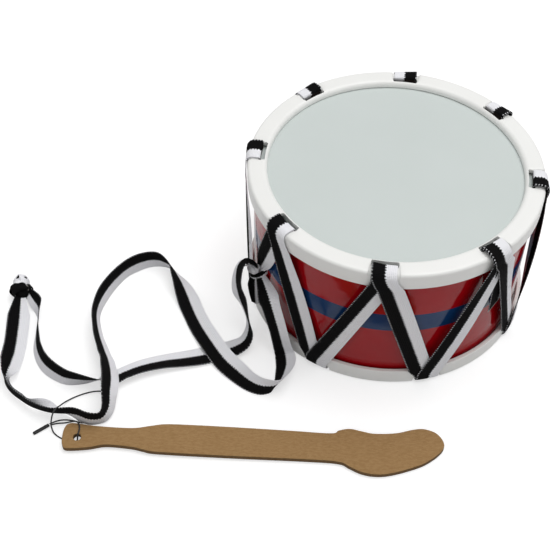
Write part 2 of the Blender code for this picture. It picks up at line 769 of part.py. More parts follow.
def add_beater(finish):
    """Flat wooden stick with a hole near its end, resting on its nose and on the loop."""
    outline = [Vector((along, across, 0)) for along, across in BEATER_OUTLINE]
    count = len(outline)
    ring = []
    for index in range(count):
        after = outline[(index + 1) % count]
        beyond = outline[(index + 2) % count]
        for share in (0, 0.5):
            ring.append(curve_point(outline[index - 1], outline[index], after, beyond, share))
    top = [point + Vector((0, 0, BEATER_THICKNESS)) for point in ring]
    sides = len(ring)
    faces = [list(range(sides)), list(range(sides, 2 * sides))]
    for side in range(sides):
        beside = (side + 1) % sides
        faces.append([side, beside, sides + beside, sides + side])
    beater = add_solid("beater", ring + top, faces, finish)
    beater.location = Vector((*BEATER_HOLE_AT, BEATER_HOLE_LIFT)) * MM
    dip = math.atan2(BEATER_HOLE_LIFT, BEATER_LENGTH + BEATER_OUTLINE[0][0])
    beater.rotation_euler = (0, dip, math.radians(BEATER_HEADING))
    softened = beater.modifiers.new("softened edges", "BEVEL")
    softened.width = BEATER_EDGE_RADIUS * MM
    softened.segments = 1
    softened.limit_method = "ANGLE"
    softened.angle_limit = math.radians(60)
    last = 360 - 360 / BEATER_HOLE_SIDES
    hole = arc((0, 0), BEATER_HOLE_RADIUS, 0, last, BEATER_HOLE_SIDES - 1)
    reach = 2 * BEATER_THICKNESS
    rows = [[Vector((x, y, level)) for x, y in hole] for level in (-reach, reach)]
    cutter = skin("beater_hole_cutter", rows, finish)
    cutter.location = beater.location
    cutter.rotation_euler = beater.rotation_euler
    cut_away(beater, "hole", cutter)


def add_elastic_loop(finish):
    """Round elastic cord along its whole route, both ends at the crimp's mouth."""
    route = [Vector(point) for point in ELASTIC_ROUTE]
    points = spread_values(route, round(route_length(route) / (2.5 * ELASTIC_DIAMETER)))
    data = bpy.data.curves.new("elastic_loop", "CURVE")
    data.dimensions = "3D"
    data.bevel_depth = ELASTIC_DIAMETER / 2 * MM
    data.bevel_resolution = 2
    data.use_fill_caps = True
    spline = data.splines.new("POLY")
    spline.points.add(len(points) - 1)
    for slot, point in zip(spline.points, points):
        slot.co = (point.x * MM, point.y * MM, point.z * MM, 1)
    data.materials.append(finish)
    loop = bpy.data.objects.new("elastic_loop", data)
    bpy.context.scene.collection.objects.link(loop)
    print("elastic_loop is", round(route_length(points)), "mm long")


def add_crimp(finish):
    """Pressed oval sleeve on the two ends of the elastic loop, closed at its far end."""
    heading = math.radians(CRIMP_HEADING)
    along = Vector((math.cos(heading), math.sin(heading), 0))
    side = Vector((-along.y, along.x, 0))
    rows = []
    for travel, share in ((0, 0.94), (0.5, 1), (CRIMP_LENGTH - 0.8, 1), (CRIMP_LENGTH, 0.7)):
        row = []
        for corner in range(12):
            angle = math.tau * corner / 12
            point = Vector(CRIMP_MOUTH) + along * (travel + CLEARANCE)
            point += side * (CRIMP_WIDTH / 2 * share * math.cos(angle))
            point.z += CRIMP_HEIGHT / 2 * share * math.sin(angle)
            row.append(point)
        rows.append(row)
    skin("crimp_sleeve", rows, finish)


def centre_footprint(strap_pieces):
    """Move all pieces together so that the origin is the middle of the footprint.

    The footprint is that of the drum and the beater; the strap and the elastic lie free.
    """
    graph = bpy.context.evaluated_depsgraph_get()
    corners = []
    for item in bpy.data.objects:
        if item.hide_render or item.name in strap_pieces:
            continue
        shape = item.evaluated_get(graph)
        corners += [item.matrix_world @ vertex.co for vertex in shape.to_mesh().vertices]
        shape.to_mesh_clear()
    middle = Vector((0, 0, 0))
    for axis in (0, 1):
        values = [corner[axis] for corner in corners]
        middle[axis] = (min(values) + max(values)) / 2
    footprint = bpy.data.objects.new("footprint", None)
    bpy.context.scene.collection.objects.link(footprint)
    footprint.location = -middle
    for item in bpy.data.objects:
        if item != footprint:
            item.parent = footprint
    bpy.context.view_layer.update()
    print("drum axis is at", [round(-value / MM, 2) for value in middle])


def clear_scene():
    """Start from an empty scene."""
    for item in list(bpy.data.objects):
        bpy.data.objects.remove(item, do_unlink=True)


def build():
    """Make every piece of the drum."""
    clear_scene()
    rim_plastic = material("rim plastic", (0.87, 0.87, 0.85), 0.35)
    head_sheet = material("head sheet", (0.58, 0.63, 0.61), 0.4)
    printed_shell = material("printed shell", (0.25, 0.012, 0.02), 0.18)
    lace_tape = material("lace tape", (0.04, 0.04, 0.045), 0.9)
    strap_tape = material("strap tape", (0.72, 0.72, 0.76), 0.9)
    fibreboard = material("fibreboard", (0.3, 0.18, 0.07), 0.75)
    elastic = material("elastic", (0.01, 0.01, 0.012), 0.7)
    crimp_metal = material("crimp", (0.02, 0.02, 0.02), 0.45, 0.6)
    add_rim("top", rim_plastic)
    add_rim("bottom", rim_plastic)
    add_head("top", "batter_head", head_sheet)
    add_head("bottom", "bottom_head", head_sheet)
    add_shell(printed_shell)
    tape_skin("lacing_tape", lace_rows(), lace_tape)
    add_drum_knot(strap_tape)
    far_knot_lump("far_knot", 0.0, strap_tape)
    add_strand("strap_long_strand", LONG_STRAND_ROUTE, strap_tape)
    add_strand("strap_short_strand", SHORT_STRAND_ROUTE, strap_tape)
    add_beater(fibreboard)
    add_elastic_loop(elastic)
    add_crimp(crimp_metal)
    centre_footprint(STRAP_PIECES)


build()
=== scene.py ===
"""Looks of a small davul: moulded rims, a glossy printed shell, woven tape and a wooden beater."""
import math

import bmesh
import bpy
from mathutils import Matrix, Vector


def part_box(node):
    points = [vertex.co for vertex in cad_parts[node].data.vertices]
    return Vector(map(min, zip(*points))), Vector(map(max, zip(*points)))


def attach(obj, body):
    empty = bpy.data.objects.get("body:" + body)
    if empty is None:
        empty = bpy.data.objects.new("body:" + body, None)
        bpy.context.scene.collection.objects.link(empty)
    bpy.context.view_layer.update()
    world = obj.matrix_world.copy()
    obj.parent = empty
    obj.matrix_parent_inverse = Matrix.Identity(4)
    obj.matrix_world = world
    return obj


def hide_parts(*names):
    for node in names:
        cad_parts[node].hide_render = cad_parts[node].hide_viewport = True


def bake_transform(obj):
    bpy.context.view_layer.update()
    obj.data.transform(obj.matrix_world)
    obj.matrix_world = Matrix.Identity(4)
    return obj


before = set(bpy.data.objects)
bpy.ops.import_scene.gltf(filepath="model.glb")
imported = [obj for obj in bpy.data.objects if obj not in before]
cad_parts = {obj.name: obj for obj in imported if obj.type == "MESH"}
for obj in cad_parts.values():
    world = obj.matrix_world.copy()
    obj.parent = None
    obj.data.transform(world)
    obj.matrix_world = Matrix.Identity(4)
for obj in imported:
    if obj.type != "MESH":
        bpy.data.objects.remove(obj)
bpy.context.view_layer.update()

MM = 0.001
SMOOTH_ANGLE = math.radians(40)

# Camera, fitted to the outlines of both rims
CAMERA_AT = (-80.63, -544.42, 616.2)
CAMERA_PITCH = 48.652
CAMERA_ROLL = 0.4936
CAMERA_LENS = 72.043
CAMERA_SENSOR = 36

# Light: each lamp's name, its place and size in metres and its power in watts
LAMPS = (
    ("overhead", (0.5, 0.3, 2.2), 1.8, 31.0),
    ("right fill", (1.8, -1.2, 0.9), 1.2, 1.5),
    ("left fill", (-1.5, -1.5, 1.0), 1.2, 3.5),
)
WORLD_LEVEL = 0.44
FLOOR_REACH = 6.0
FLOOR_LEVEL = 0.6
FLOOR_GLOW_SEEN = 0.55
FLOOR_GLOW_MIRRORED = 0.3

# Drum, in millimetres about the centre of its base, as in the part's source
DRUM_HEIGHT = 111.0
DRUM_RADIUS = 100.0
SEGMENTS = 256
CLEARANCE = 0.3
FLANGE_WIDTH = 13.5
SKIRT_HEIGHT = 12.6
SKIRT_WALL = 3.0
SKIRT_BEVEL = 0.5
SKIRT_STRAIGHT_FROM = 8.5
FLANGE_THICKNESS = 3.0
OUTER_CORNER_RADIUS = 2.2
RIM_CORNER_STEPS = 8
INNER_EDGE_RADIUS = 3.2
INNER_EDGE_STEPS = 10
LIP_WALL = 1.5
LIP_DEPTH = 4.6
LIP_BEVEL = 0.3
SEAT_RIB_WIDTH = 3.0
HEAD_THICKNESS = 0.6
SHELL_WALL = 1.6
SHELL_STEPS = 12
BAND_LOW = 52.0
BAND_HIGH = 68.0
BAND_BLUR = 0.25
BAND_WANDER = 0.35

# Lacing notches and the tape that runs through them
NOTCH_COUNT = 8
FIRST_TOP_NOTCH = 82.0
BOTTOM_RIM_TURN = 22.0
NOTCH_WIDTH = 17.4
TOP_SEAT_DEPTH = 0.6
BOTTOM_SEAT_DEPTH = 1.8
NOTCH_SIDE = 0.7
SLOT_WIDTH = 4.6
SLOT_LAND = 1.9
SLOT_CORNER_RADIUS = 1.2
SLOT_STEPS = 6
SLOT_CORNER_STEPS = 5
CUTTER_OVERSHOOT = 2.0
NOTCH_CORNER_RADIUS = 3.5
NOTCH_CORNER_STEPS = 8
NOTCH_STEPS = 8
NOTCH_SIDE_STEPS = 5
FLANGE_STEPS = 20
SKIRT_STEPS = 6
TAPE_WIDTH = 16.0
TAPE_THICKNESS = 0.5
TAPE_COLUMNS = 12
THIN_EDGE_FROM = 0.8
THIN_EDGE_SHARE = 0.3
LACE_TURN = 5.0
LACE_SPREAD = 3.5
RISING_BULGE = 0.65
BLACK_LIFT = 1.5
# How far the slack black edge of each kind of leg stands out and its white edge sinks in
BLACK_SLACK = {"rising": 0.7, "tied": 0.7, "leaning": 2.6, "opening": 0.0, "falling": 0.6}
WHITE_SINK = {"rising": 0.7, "tied": 0.7, "leaning": 1.9, "opening": -2.2, "falling": 1.9}
EDGE_POWER = 1.5
SLACK_SKEW = 0.8
# Rising legs that hang unlike the others, by the top notch they rise to
LEG_KINDS = {3: "tied", 5: "opening", 6: "leaning"}
FOLD_DEPTH = 4.5
LACE_END_NOTCH = 5
LACE_TAIL_LENGTH = 56.0
LACE_TAIL_SLANT = 9.0
LACE_TAIL_DRIFT = 5.0
LACE_TAIL_LEAN = 2.8
LACE_TAIL_STEPS = 14
# Where the tape inside the slots is darkened with painted shade
SLOT_SHADE_INSIDE = 0.4
SLOT_SHADE_BELOW = 0.2
SLOT_SHADE_FADE = (0.8, 1.6)
PINCH_HEIGHT = 50.0
PINCH_REACH = 10.0
PINCH_SHARE = 0.55
PINCH_RIPPLE = 1.6
PINCH_RIPPLE_COUNT = 1.5
BEND_STEPS = 6
FOLD_STEPS = 8
SPAN_STEPS = 26

# Weave of the tape: lengths in millimetres, and shares of its width
BLACK_SHARE = 0.575
TOOTH_SHARE = 0.075
TOOTH_LENGTH = 1.0
FLECK_LENGTH = 0.95
FLECK_SHARE = 0.05
RIB_PITCH = 1.0
YARN_PITCH = 1.15

# Strap, elastic and beater
STRAP_STEP = 1.5
LIFT_REACH = 6
FLOOR_GAP = 0.1
GATHER_LENGTH = 18.0
GATHER_SHARE = 0.6
CURL_SHARE = 0.3
DRUM_KNOT_REACH = 6.5
FAR_KNOT_REACH = 13.0
DRUM_KNOT_HEART = (-95.4, -43.6, 54.0)
DRUM_KNOT_BAND = (-92.0, -42.0, 49.0)
DRUM_KNOT_TAIL = [
    (-93.6, -44.5, 50, -52, 0),
    (-94.6, -45.5, 44, -46, 0),
    (-94.8, -47.2, 36, -42, 0),
    (-94.6, -48.8, 30, -38, 0),
    (-94.2, -50.2, 25, -34, 0),
]
FAR_KNOT_CENTRE = (-264.5, -21.5, 7.2)
FAR_KNOT_BULB = (-266.0, -19.5, 7.4)
FAR_KNOT_WAIST = (-263.8, -26.4, 7.2)
FAR_KNOT_LEFT_TURN = (-267.3, -25.8, 6.6)
FAR_KNOT_MARKS = ((-0.32, 0.22, 0.92), (0.64, 0.35, 0.68))
KNOT_SIDES = 48
KNOT_LEVELS = 24
KNOT_POLE = 0.02
KNOT_SWELL = 0.05
KNOT_CREASE = 0.03
# Where along the tape the middle of a knot lies, away from the frayed end
KNOT_ALONG = 20.0
KNOT_MARK_EDGE = 0.98
KNOT_MARK_SHARE = 0.2
WRAP_STEPS = 56
WRAP_THICKNESS = 1.4 * TAPE_THICKNESS
WRAP_CREASE = 0.25
WRAP_DIVE = 2.5
WRAP_DIVE_STEPS = 6
BEATER_THICKNESS = 3.8
BEATER_EDGE_RADIUS = 0.55
BEATER_HOLE_RADIUS = 2.5
BEATER_HOLE_SIDES = 48
BEATER_CURVE_STEPS = 6
BEATER_HOLE_AT = (-209.2, -149.3)
BEATER_HEADING = -2.0
BEATER_HOLE_LIFT = 1.5
BEATER_LENGTH = 250.0
ELASTIC_DIAMETER = 1.0
ELASTIC_STEP = 1.0
ELASTIC_SIDES = 12
CRIMP_LENGTH = 11.8
CRIMP_WIDTH = 2.6
CRIMP_HEIGHT = 1.8
CRIMP_SIDES = 24
CRIMP_STEPS = 24
CRIMP_END_SHARE = 0.72
CRIMP_END_LENGTH = 0.6
CRIMP_DENT = 0.16
CRIMP_DENT_PITCH = 3.0
CRIMP_MOUTH = (-229.5, -137.2, 1.2)
CRIMP_HEADING = 217.0

# Places worked out from the sizes above
OPENING_RADIUS = DRUM_RADIUS - FLANGE_WIDTH
SKIRT_INNER_RADIUS = DRUM_RADIUS - SKIRT_WALL
SHELL_OUTER_RADIUS = SKIRT_INNER_RADIUS - 2 * CLEARANCE - HEAD_THICKNESS
SHELL_EDGE_DEPTH = LIP_DEPTH + 2 * CLEARANCE + HEAD_THICKNESS
SLOT_INNER_RADIUS = OPENING_RADIUS + SLOT_LAND
SLOT_OUTER_RADIUS = SLOT_INNER_RADIUS + SLOT_WIDTH
SLOT_MIDDLE_RADIUS = (SLOT_INNER_RADIUS + SLOT_OUTER_RADIUS) / 2
NOTCH_PITCH = 360.0 / NOTCH_COUNT
LACE_START_DEPTH = BOTTOM_SEAT_DEPTH + NOTCH_CORNER_RADIUS
LAYER_PITCH = TAPE_THICKNESS + CLEARANCE
FIRST_LAYER = CLEARANCE + TAPE_THICKNESS / 2
SIDES = [2 * column / TAPE_COLUMNS - 1 for column in range(TAPE_COLUMNS + 1)]

# Routes. A strand's points are x, y, z of the tape's middle, then the heading and the
# tilt of the line from its black edge to its white edge; the elastic's are x, y, z.
# They keep to the routes of the solids, but for the strands' ends at the knots, the
# long strand's bend on the left and the elastic's hump over it.
LONG_STRAND_ROUTE = [
    (-90.5, -46, 48.5, -35, 0), (-88.3, -52.5, 47, -35, 0), (-84.8, -62.5, 43, -35, 0),
    (-81.5, -69, 35, -35, 0), (-78, -75, 24, -33, 5), (-75.5, -77.5, 13, -28, 12),
    (-73.5, -80, 5, -20, 26), (-73, -91, 4.9, -29, 34), (-78, -107, 7.5, -20, 64),
    (-87, -110, 8.2, 27, 76), (-96, -106, 7.7, 50, 66), (-106, -96, 6.2, 50, 44),
    (-116, -85, 6, 50, 31), (-125, -71, 6.4, 42, 27), (-134, -54, 4.7, 26, 26),
    (-141, -37, 3.6, 6, 20), (-146, -23, 2.9, 18, -16), (-152, -11, 6, 49, -44),
    (-159, 0, 7.5, 100, -63), (-170, 5, 8.2, 190, -80), (-183, 1, 8.2, -40, -80),
    (-194, -9, 7.8, 30, -68), (-204, -27, 7.2, 43, -59), (-208, -45, 6.8, 70, -54),
    (-205, -63, 6.1, 80, -46), (-199, -80, 7, 73, -46), (-195, -90, 8.6, 64, -48),
    (-191.5, -105.5, 12.6, 47, -45), (-190.5, -120, 14.4, 45, -46), (-190.5, -129, 11.2, 44, -54),
    (-194, -136.6, 9.7, 50, -72), (-202, -137.9, 9.8, 80, -87), (-213, -133.6, 9.3, 140, -80),
    (-228, -131.6, 6.9, 128, -76), (-241, -126, 4.4, 138, -76), (-250, -119.8, 3.0, 145, -78),
    (-259.2, -112.2, 2.9, 155, -80), (-264, -105, 3.9, 180, -82), (-264.6, -97.6, 5.2, -20, -76),
    (-263.4, -89.7, 4.2, -24, -42), (-262.8, -80, 2.2, -12, -18), (-263.2, -66, 1.2, -4, -5),
    (-264, -50, 2.6, -4, -14), (-264.4, -38, 5.6, -6, -20), (-264.8, -28, 7.0, -6, -20),
]
SHORT_STRAND_ROUTE = [
    (-92.5, -43, 57, 80, -20), (-96.2, -45.5, 64.5, 88, -14), (-101, -46.5, 67, 98, -12),
    (-105.6, -47.8, 61, 112, -4), (-107, -49.5, 48, 118, 0), (-105, -52, 34, 132, 0),
    (-101, -55, 20, 112, -3), (-98.5, -60, 9.5, 106, -14), (-101, -67, 3.6, 112, -20),
    (-108, -72, 1.9, 115, -10), (-118, -75, 1.1, 114, -5), (-130, -79, 1.0, 110, -4),
    (-142, -82, 1.5, 99, -9), (-158, -85.5, 2.6, 98, -16), (-172, -90, 3.2, 101, -19),
    (-183, -95.5, 3.4, 100, -21), (-191, -100.5, 3.5, 104, -22), (-199.5, -104.5, 6.6, 112, -52),
    (-213, -105, 8, 147, -74), (-225, -102, 7.9, 190, -72), (-238, -92, 7.5, 185, -64),
    (-245.5, -78, 6.8, 145, -54), (-248, -62, 7.4, 127, -62), (-248.5, -50, 8, 135, -74),
    (-250, -41, 7.8, 165, -62), (-254.5, -34, 7.4, 195, -46), (-260, -26, 7.4, 205, -42),
]
# Degrees by which the white half folds back at some points of each strand
LONG_STRAND_CURL = {33: -60, 34: -165, 35: -172, 36: -172, 37: -150, 38: -80, 39: -25}
SHORT_STRAND_CURL = {0: 60, 1: 85, 2: 85, 3: 40, 4: 10}
ELASTIC_ROUTE = [
    (-229.5, -136.6, 1.2), (-225, -134.3, 1.1), (-220.5, -133.2, 0.9), (-214.5, -133.6, 0.7),
    (-208, -135.2, 0.6), (-201.5, -134, 0.6), (-195.5, -128, 0.6), (-192.5, -119.5, 0.7),
    (-193.5, -112.5, 0.7), (-197.5, -109.8, 0.7), (-203, -109.8, 0.7), (-209, -111.5, 0.7),
    (-214.5, -114, 0.7), (-219.5, -117.5, 1.2), (-222, -121.6, 3.6), (-223, -127, 8.4),
    (-223.4, -132.6, 14.2), (-224, -136.6, 17.2), (-225, -140, 16.6), (-226.2, -141.4, 12),
    (-227.2, -140.6, 6.5), (-227.2, -141, 3), (-225.8, -143.4, 1.0), (-222.5, -146.2, 0.6),
    (-218, -148.6, 0.6), (-213.2, -150, 0.6), (-210.7, -149.9, 0.7), (-209.4, -149.5, 1.8),
    (-209, -149, 4), (-208.7, -147.9, 6.3), (-208, -145, 7.0), (-208.4, -141.5, 6.9),
    (-210.3, -138.2, 6.4), (-213.8, -136.2, 3.6), (-219.5, -135.7, 1.1), (-224.5, -136.2, 1.1),
    (-228.9, -137.5, 1.2),
]
BEATER_OUTLINE = [
    (-9.9, 0), (-9.4, 7), (-6.5, 10.6), (0, 10.6), (14, 9.2), (35, 8.9), (47, 11.2),
    (57, 13), (75, 13.2), (103, 12.8), (140, 11.9), (166, 11.2), (171, 13.6), (178.5, 15.3),
    (187, 13.6), (195, 12.3), (209, 13.4), (220, 16.6), (228, 17.4), (236, 14),
    (240.1, 6.6), (237.4, 0), (227, -8.6), (214, -14.4), (202, -18), (193, -18.6), (185, -17),
    (178, -13.6), (171, -10.4), (150, -9.6), (100, -9.4), (54, -8.7), (44, -7.3), (36, -5.7),
    (19.5, -4.8), (8, -7.4), (-5.4, -8.8), (-8.8, -6.4),
]

shell_low, shell_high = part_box("shell")
DRUM_AXIS = Vector(((shell_low[0] + shell_high[0]) / 2, (shell_low[1] + shell_high[1]) / 2, 0))
knot_low, knot_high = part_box("drum_knot")
DRUM_KNOT_AT = (knot_low + knot_high) / 2


def place(point):
    """Point of the scene, in metres, from a point about the drum's base in millimetres."""
    return DRUM_AXIS + Vector(point) * MM


# Node helpers

class Finish:
    """A Principled material and short ways to add the nodes that drive it."""

    def __init__(self, name, **sockets):
        self.material = bpy.data.materials.new(name)
        self.material.use_nodes = True
        self.tree = self.material.node_tree
        self.shader = self.tree.nodes["Principled BSDF"]
        for socket, value in sockets.items():
            self.shader.inputs[socket.replace("_", " ")].default_value = value

    def node(self, kind, inputs=None, **settings):
        made = self.tree.nodes.new(kind)
        for name, value in settings.items():
            setattr(made, name, value)
        for name, value in (inputs or {}).items():
            self.feed(made.inputs[name], value)
        return made

    def feed(self, socket, value):
        if isinstance(value, bpy.types.NodeSocket):
            self.tree.links.new(value, socket)
        else:
            socket.default_value = value

    def math(self, operation, a, b=0.0):
        return self.node("ShaderNodeMath", {0: a, 1: b}, operation=operation).outputs[0]

    def plus(self, a, b):
        return self.math("ADD", a, b)

    def times(self, a, b):
        return self.math("MULTIPLY", a, b)

    def soft_step(self, value, low, high):
        """0 below `low`, 1 above `high`, smooth between."""
        made = self.node("ShaderNodeMapRange", {0: value, 1: low, 2: high}, interpolation_type="SMOOTHSTEP")
        return made.outputs[0]

    def spread(self, value, low, high):
        """A value from 0 to 1 spread over another range."""
        return self.node("ShaderNodeMapRange", {0: value, 3: low, 4: high}).outputs[0]

    def mix(self, share, a, b):
        """Colour between two colours."""
        return self.node("ShaderNodeMix", {0: share, 6: a, 7: b}, data_type="RGBA").outputs[2]

    def places(self):
        """Coordinates on the piece, in millimetres."""
        found = self.node("ShaderNodeTexCoord").outputs["Object"]
        return self.node("ShaderNodeVectorMath", {0: found, 3: 1 / MM}, operation="SCALE").outputs[0]

    def noise(self, vector, scale, detail=3.0, roughness=0.5):
        inputs = {"Vector": vector, "Scale": scale, "Detail": detail, "Roughness": roughness}
        return self.node("ShaderNodeTexNoise", inputs).outputs[0]

    def bump(self, height, distance, strength=1.0, normal=None):
        """Bump of a height from 0 to 1 that stands for `distance` millimetres."""
        inputs = {"Strength": strength, "Distance": distance * MM, "Height": height}
        if normal is not None:
            inputs["Normal"] = normal
        return self.node("ShaderNodeBump", inputs).outputs[0]

    def use(self, **sockets):
        for socket, value in sockets.items():
            self.feed(self.shader.inputs[socket.replace("_", " ")], value)
        return self.material


def colour(red, green, blue):
    """Linear colour from the 0 to 255 values that it has on a screen."""
    linear = []
    for value in (red, green, blue):
        share = value / 255
        linear.append(share / 12.92 if share <= 0.04045 else ((share + 0.055) / 1.055) ** 2.4)
    return (*linear, 1.0)


# Materials

def rim_plastic():
    """White moulded plastic with a faint orange-peel surface."""
    finish = Finish("rim plastic", IOR=1.47)
    where = finish.places()
    cloud = finish.noise(where, 0.035, 2)
    base = finish.mix(cloud, colour(236, 236, 233), colour(242, 242, 240))
    rough = finish.spread(finish.noise(where, 0.6, 3), 0.3, 0.42)
    peel = finish.bump(finish.noise(where, 0.9, 2), 0.035)
    return finish.use(Base_Color=base, Roughness=rough, Normal=peel)


def head_sheet():
    """Grey-white plastic sheet, slightly cloudy."""
    finish = Finish("head sheet", IOR=1.45)
    where = finish.places()
    cloud = finish.noise(where, 0.02, 4)
    base = finish.mix(cloud, colour(198, 206, 203), colour(204, 211, 209))
    rough = finish.spread(finish.noise(where, 0.25, 3), 0.36, 0.48)
    grain = finish.bump(finish.noise(where, 1.6, 3), 0.02)
    return finish.use(Base_Color=base, Roughness=rough, Normal=grain)


def printed_shell():
    """Glossy dark red print with a blue band, on a sheet that isn't quite even."""
    finish = Finish("printed shell", IOR=1.5, Specular_IOR_Level=0.24)
    where = finish.places()
    height = finish.node("ShaderNodeSeparateXYZ", {0: where}).outputs["Z"]
    wander = finish.spread(finish.noise(where, 0.05, 2), -BAND_WANDER, BAND_WANDER)
    level = finish.plus(height, wander)
    above = finish.soft_step(level, BAND_LOW - BAND_BLUR, BAND_LOW + BAND_BLUR)
    below = finish.soft_step(level, BAND_HIGH + BAND_BLUR, BAND_HIGH - BAND_BLUR)
    band = finish.times(above, below)
    cloud = finish.noise(where, 0.06, 3)
    red = finish.mix(cloud, colour(152, 3, 14), colour(166, 9, 20))
    blue = finish.mix(cloud, colour(12, 48, 92), colour(20, 56, 100))
    base = finish.mix(band, red, blue)
    rough = finish.spread(finish.noise(where, 0.3, 3), 0.07, 0.15)
    swell = finish.bump(finish.noise(where, 0.035, 2), 0.9)
    grain = finish.bump(finish.noise(where, 0.8, 2), 0.01, normal=swell)
    return finish.use(Base_Color=base, Roughness=rough, Normal=grain)


def tape_flecks(finish, flat, across, along):
    """White flecks on the black edge, where some of the weft threads turn round it."""
    gap = finish.math("PINGPONG", finish.plus(along, 0.4), FLECK_LENGTH)
    on_thread = finish.soft_step(gap, 0.42, 0.22)
    at_edge = finish.soft_step(across, FLECK_SHARE + 0.01, FLECK_SHARE - 0.01)
    some = finish.soft_step(finish.noise(flat, 1.5, 1), 0.38, 0.46)
    return finish.times(finish.times(on_thread, at_edge), some)


def tape_weave(finish, across, along):
    """Height of the weave's ribs and yarns, about 0 to 1."""
    rib = finish.math("SINE", finish.times(along, math.tau / RIB_PITCH))
    phase = finish.times(across, math.tau * TAPE_WIDTH / YARN_PITCH)
    yarn = finish.math("SINE", finish.plus(phase, finish.times(rib, 0.9)))
    weave = finish.plus(finish.times(rib, 0.3), finish.times(yarn, 0.35))
    return finish.plus(weave, 0.5)


def woven_tape(name):
    """Narrow woven tape, black along one edge and white along the other.

    The UV map gives the share of the width from the black edge and the millimetres along.
    """
    finish = Finish(name, Roughness=0.92, Specular_IOR_Level=0.06)
    surface = finish.node("ShaderNodeUVMap", uv_map="tape").outputs[0]
    parts = finish.node("ShaderNodeSeparateXYZ", {0: surface})
    across = parts.outputs["X"]
    along = parts.outputs["Y"]
    flat = finish.node("ShaderNodeCombineXYZ", {0: finish.times(across, TAPE_WIDTH), 1: along}).outputs[0]
    tooth = finish.times(finish.math("PINGPONG", along, TOOTH_LENGTH), TOOTH_SHARE)
    wander = finish.spread(finish.noise(flat, 0.5, 2), -0.03, 0.03)
    edge = finish.plus(finish.plus(across, tooth), wander)
    white_part = finish.soft_step(edge, BLACK_SHARE, BLACK_SHARE + 0.02)
    height = tape_weave(finish, across, along)
    shade = finish.spread(finish.noise(flat, 0.9, 4, 0.7), 0.0, 1.0)
    black = finish.mix(shade, colour(6, 6, 7), colour(24, 23, 24))
    white = finish.mix(shade, colour(236, 236, 241), colour(252, 252, 254))
    # Painted shade: the white darkens to a bluish grey in the furrows between the yarns
    furrow_shade = finish.soft_step(height, 0.35, 0.0)
    white = finish.mix(finish.times(furrow_shade, 0.4), white, colour(206, 206, 214))
    flecks = tape_flecks(finish, flat, across, along)
    light = finish.math("MAXIMUM", white_part, finish.times(flecks, 0.8))
    base = finish.mix(light, black, white)
    frayed = finish.soft_step(along, 1.4, 0.6)
    base = finish.mix(finish.times(frayed, 0.8), base, colour(186, 182, 176))
    # Painted shade: the tape inside the slots is darkened to a dark brown
    slot_shade = finish.node("ShaderNodeAttribute", attribute_name="slot_shade").outputs["Fac"]
    base = finish.mix(finish.times(slot_shade, 0.85), base, colour(46, 36, 32))
    fuzz = finish.noise(flat, 3.0, 2)
    relief = finish.bump(fuzz, 0.06, normal=finish.bump(height, 0.22))
    return finish.use(Base_Color=base, Normal=relief)


def fibreboard(name, low, high, depth):
    """Bare fibreboard with short fibres and specks."""
    finish = Finish(name, Roughness=0.82, Specular_IOR_Level=0.25)
    where = finish.places()
    squeezed = finish.node("ShaderNodeVectorMath", {0: where, 1: (0.35, 1.0, 1.0)}, operation="MULTIPLY")
    fibres = finish.noise(squeezed.outputs[0], 0.9, 5, 0.65)
    cloud = finish.noise(where, 0.04, 3)
    base = finish.mix(finish.soft_step(fibres, 0.3, 0.7), low, high)
    base = finish.mix(finish.times(cloud, 0.35), base, low)
    specks = finish.soft_step(finish.noise(where, 1.7, 2), 0.64, 0.72)
    base = finish.mix(finish.times(specks, 0.45), base, depth)
    grain = finish.bump(fibres, 0.12)
    return finish.use(Base_Color=base, Normal=grain)


def elastic_braid():
    """Thin black elastic with a braided cover."""
    finish = Finish("elastic", Roughness=0.7, Sheen_Weight=0.1)
    where = finish.places()
    braid = finish.noise(where, 2.2, 2)
    base = finish.mix(braid, colour(18, 18, 19), colour(44, 44, 46))
    return finish.use(Base_Color=base, Normal=finish.bump(braid, 0.12))


def crimp_metal():
    """Black painted metal of the crimp, rubbed at its ridges."""
    finish = Finish("crimp", Roughness=0.5, Metallic=0.3)
    where = finish.places()
    rubbed = finish.noise(where, 1.3, 3)
    base = finish.mix(finish.soft_step(rubbed, 0.5, 0.75), colour(16, 16, 17), colour(52, 52, 54))
    return finish.use(Base_Color=base, Normal=finish.bump(rubbed, 0.08))


# Mesh helpers

def add_object(name, data):
    """New object in the scene that shows a mesh, a camera or a lamp."""
    made = bpy.data.objects.new(name, data)
    bpy.context.scene.collection.objects.link(made)
    return made


def shade(mesh):
    """Shade smooth, but for the edges at which the faces turn sharply."""
    mesh.shade_smooth()
    mesh.set_sharp_from_angle(angle=SMOOTH_ANGLE)


def add_mesh(name, points, faces, materials, uvs=None, face_materials=None, smooth=True):
    """Mesh piece from points about the drum's base in millimetres."""
    mesh = bpy.data.meshes.new(name)
    mesh.from_pydata([place(point) for point in points], [], faces)
    for material in materials:
        mesh.materials.append(material)
    if uvs is not None:
        layer = mesh.uv_layers.new(name="tape")
        for loop in mesh.loops:
            layer.data[loop.index].uv = uvs[loop.vertex_index]
    if face_materials is not None:
        for polygon, number in zip(mesh.polygons, face_materials):
            polygon.material_index = number
    work = bmesh.new()
    work.from_mesh(mesh)
    bmesh.ops.recalc_face_normals(work, faces=work.faces)
    if work.calc_volume(signed=True) < 0:
        bmesh.ops.reverse_faces(work, faces=work.faces)
    work.to_mesh(mesh)
    work.free()
    if smooth:
        shade(mesh)
    return add_object(name, mesh)


def bake(item):
    """Apply the modifiers of a piece and shade it smooth again."""
    graph = bpy.context.evaluated_depsgraph_get()
    mesh = bpy.data.meshes.new_from_object(item.evaluated_get(graph))
    item.modifiers.clear()
    item.data = mesh
    shade(mesh)


def cut_away(item, cutter):
    """Subtract the cutter from the item and remove it."""
    cut = item.modifiers.new("cut", "BOOLEAN")
    cut.operation = "DIFFERENCE"
    cut.solver = "EXACT"
    cut.object = cutter
    bake(item)
    bpy.data.objects.remove(cutter, do_unlink=True)


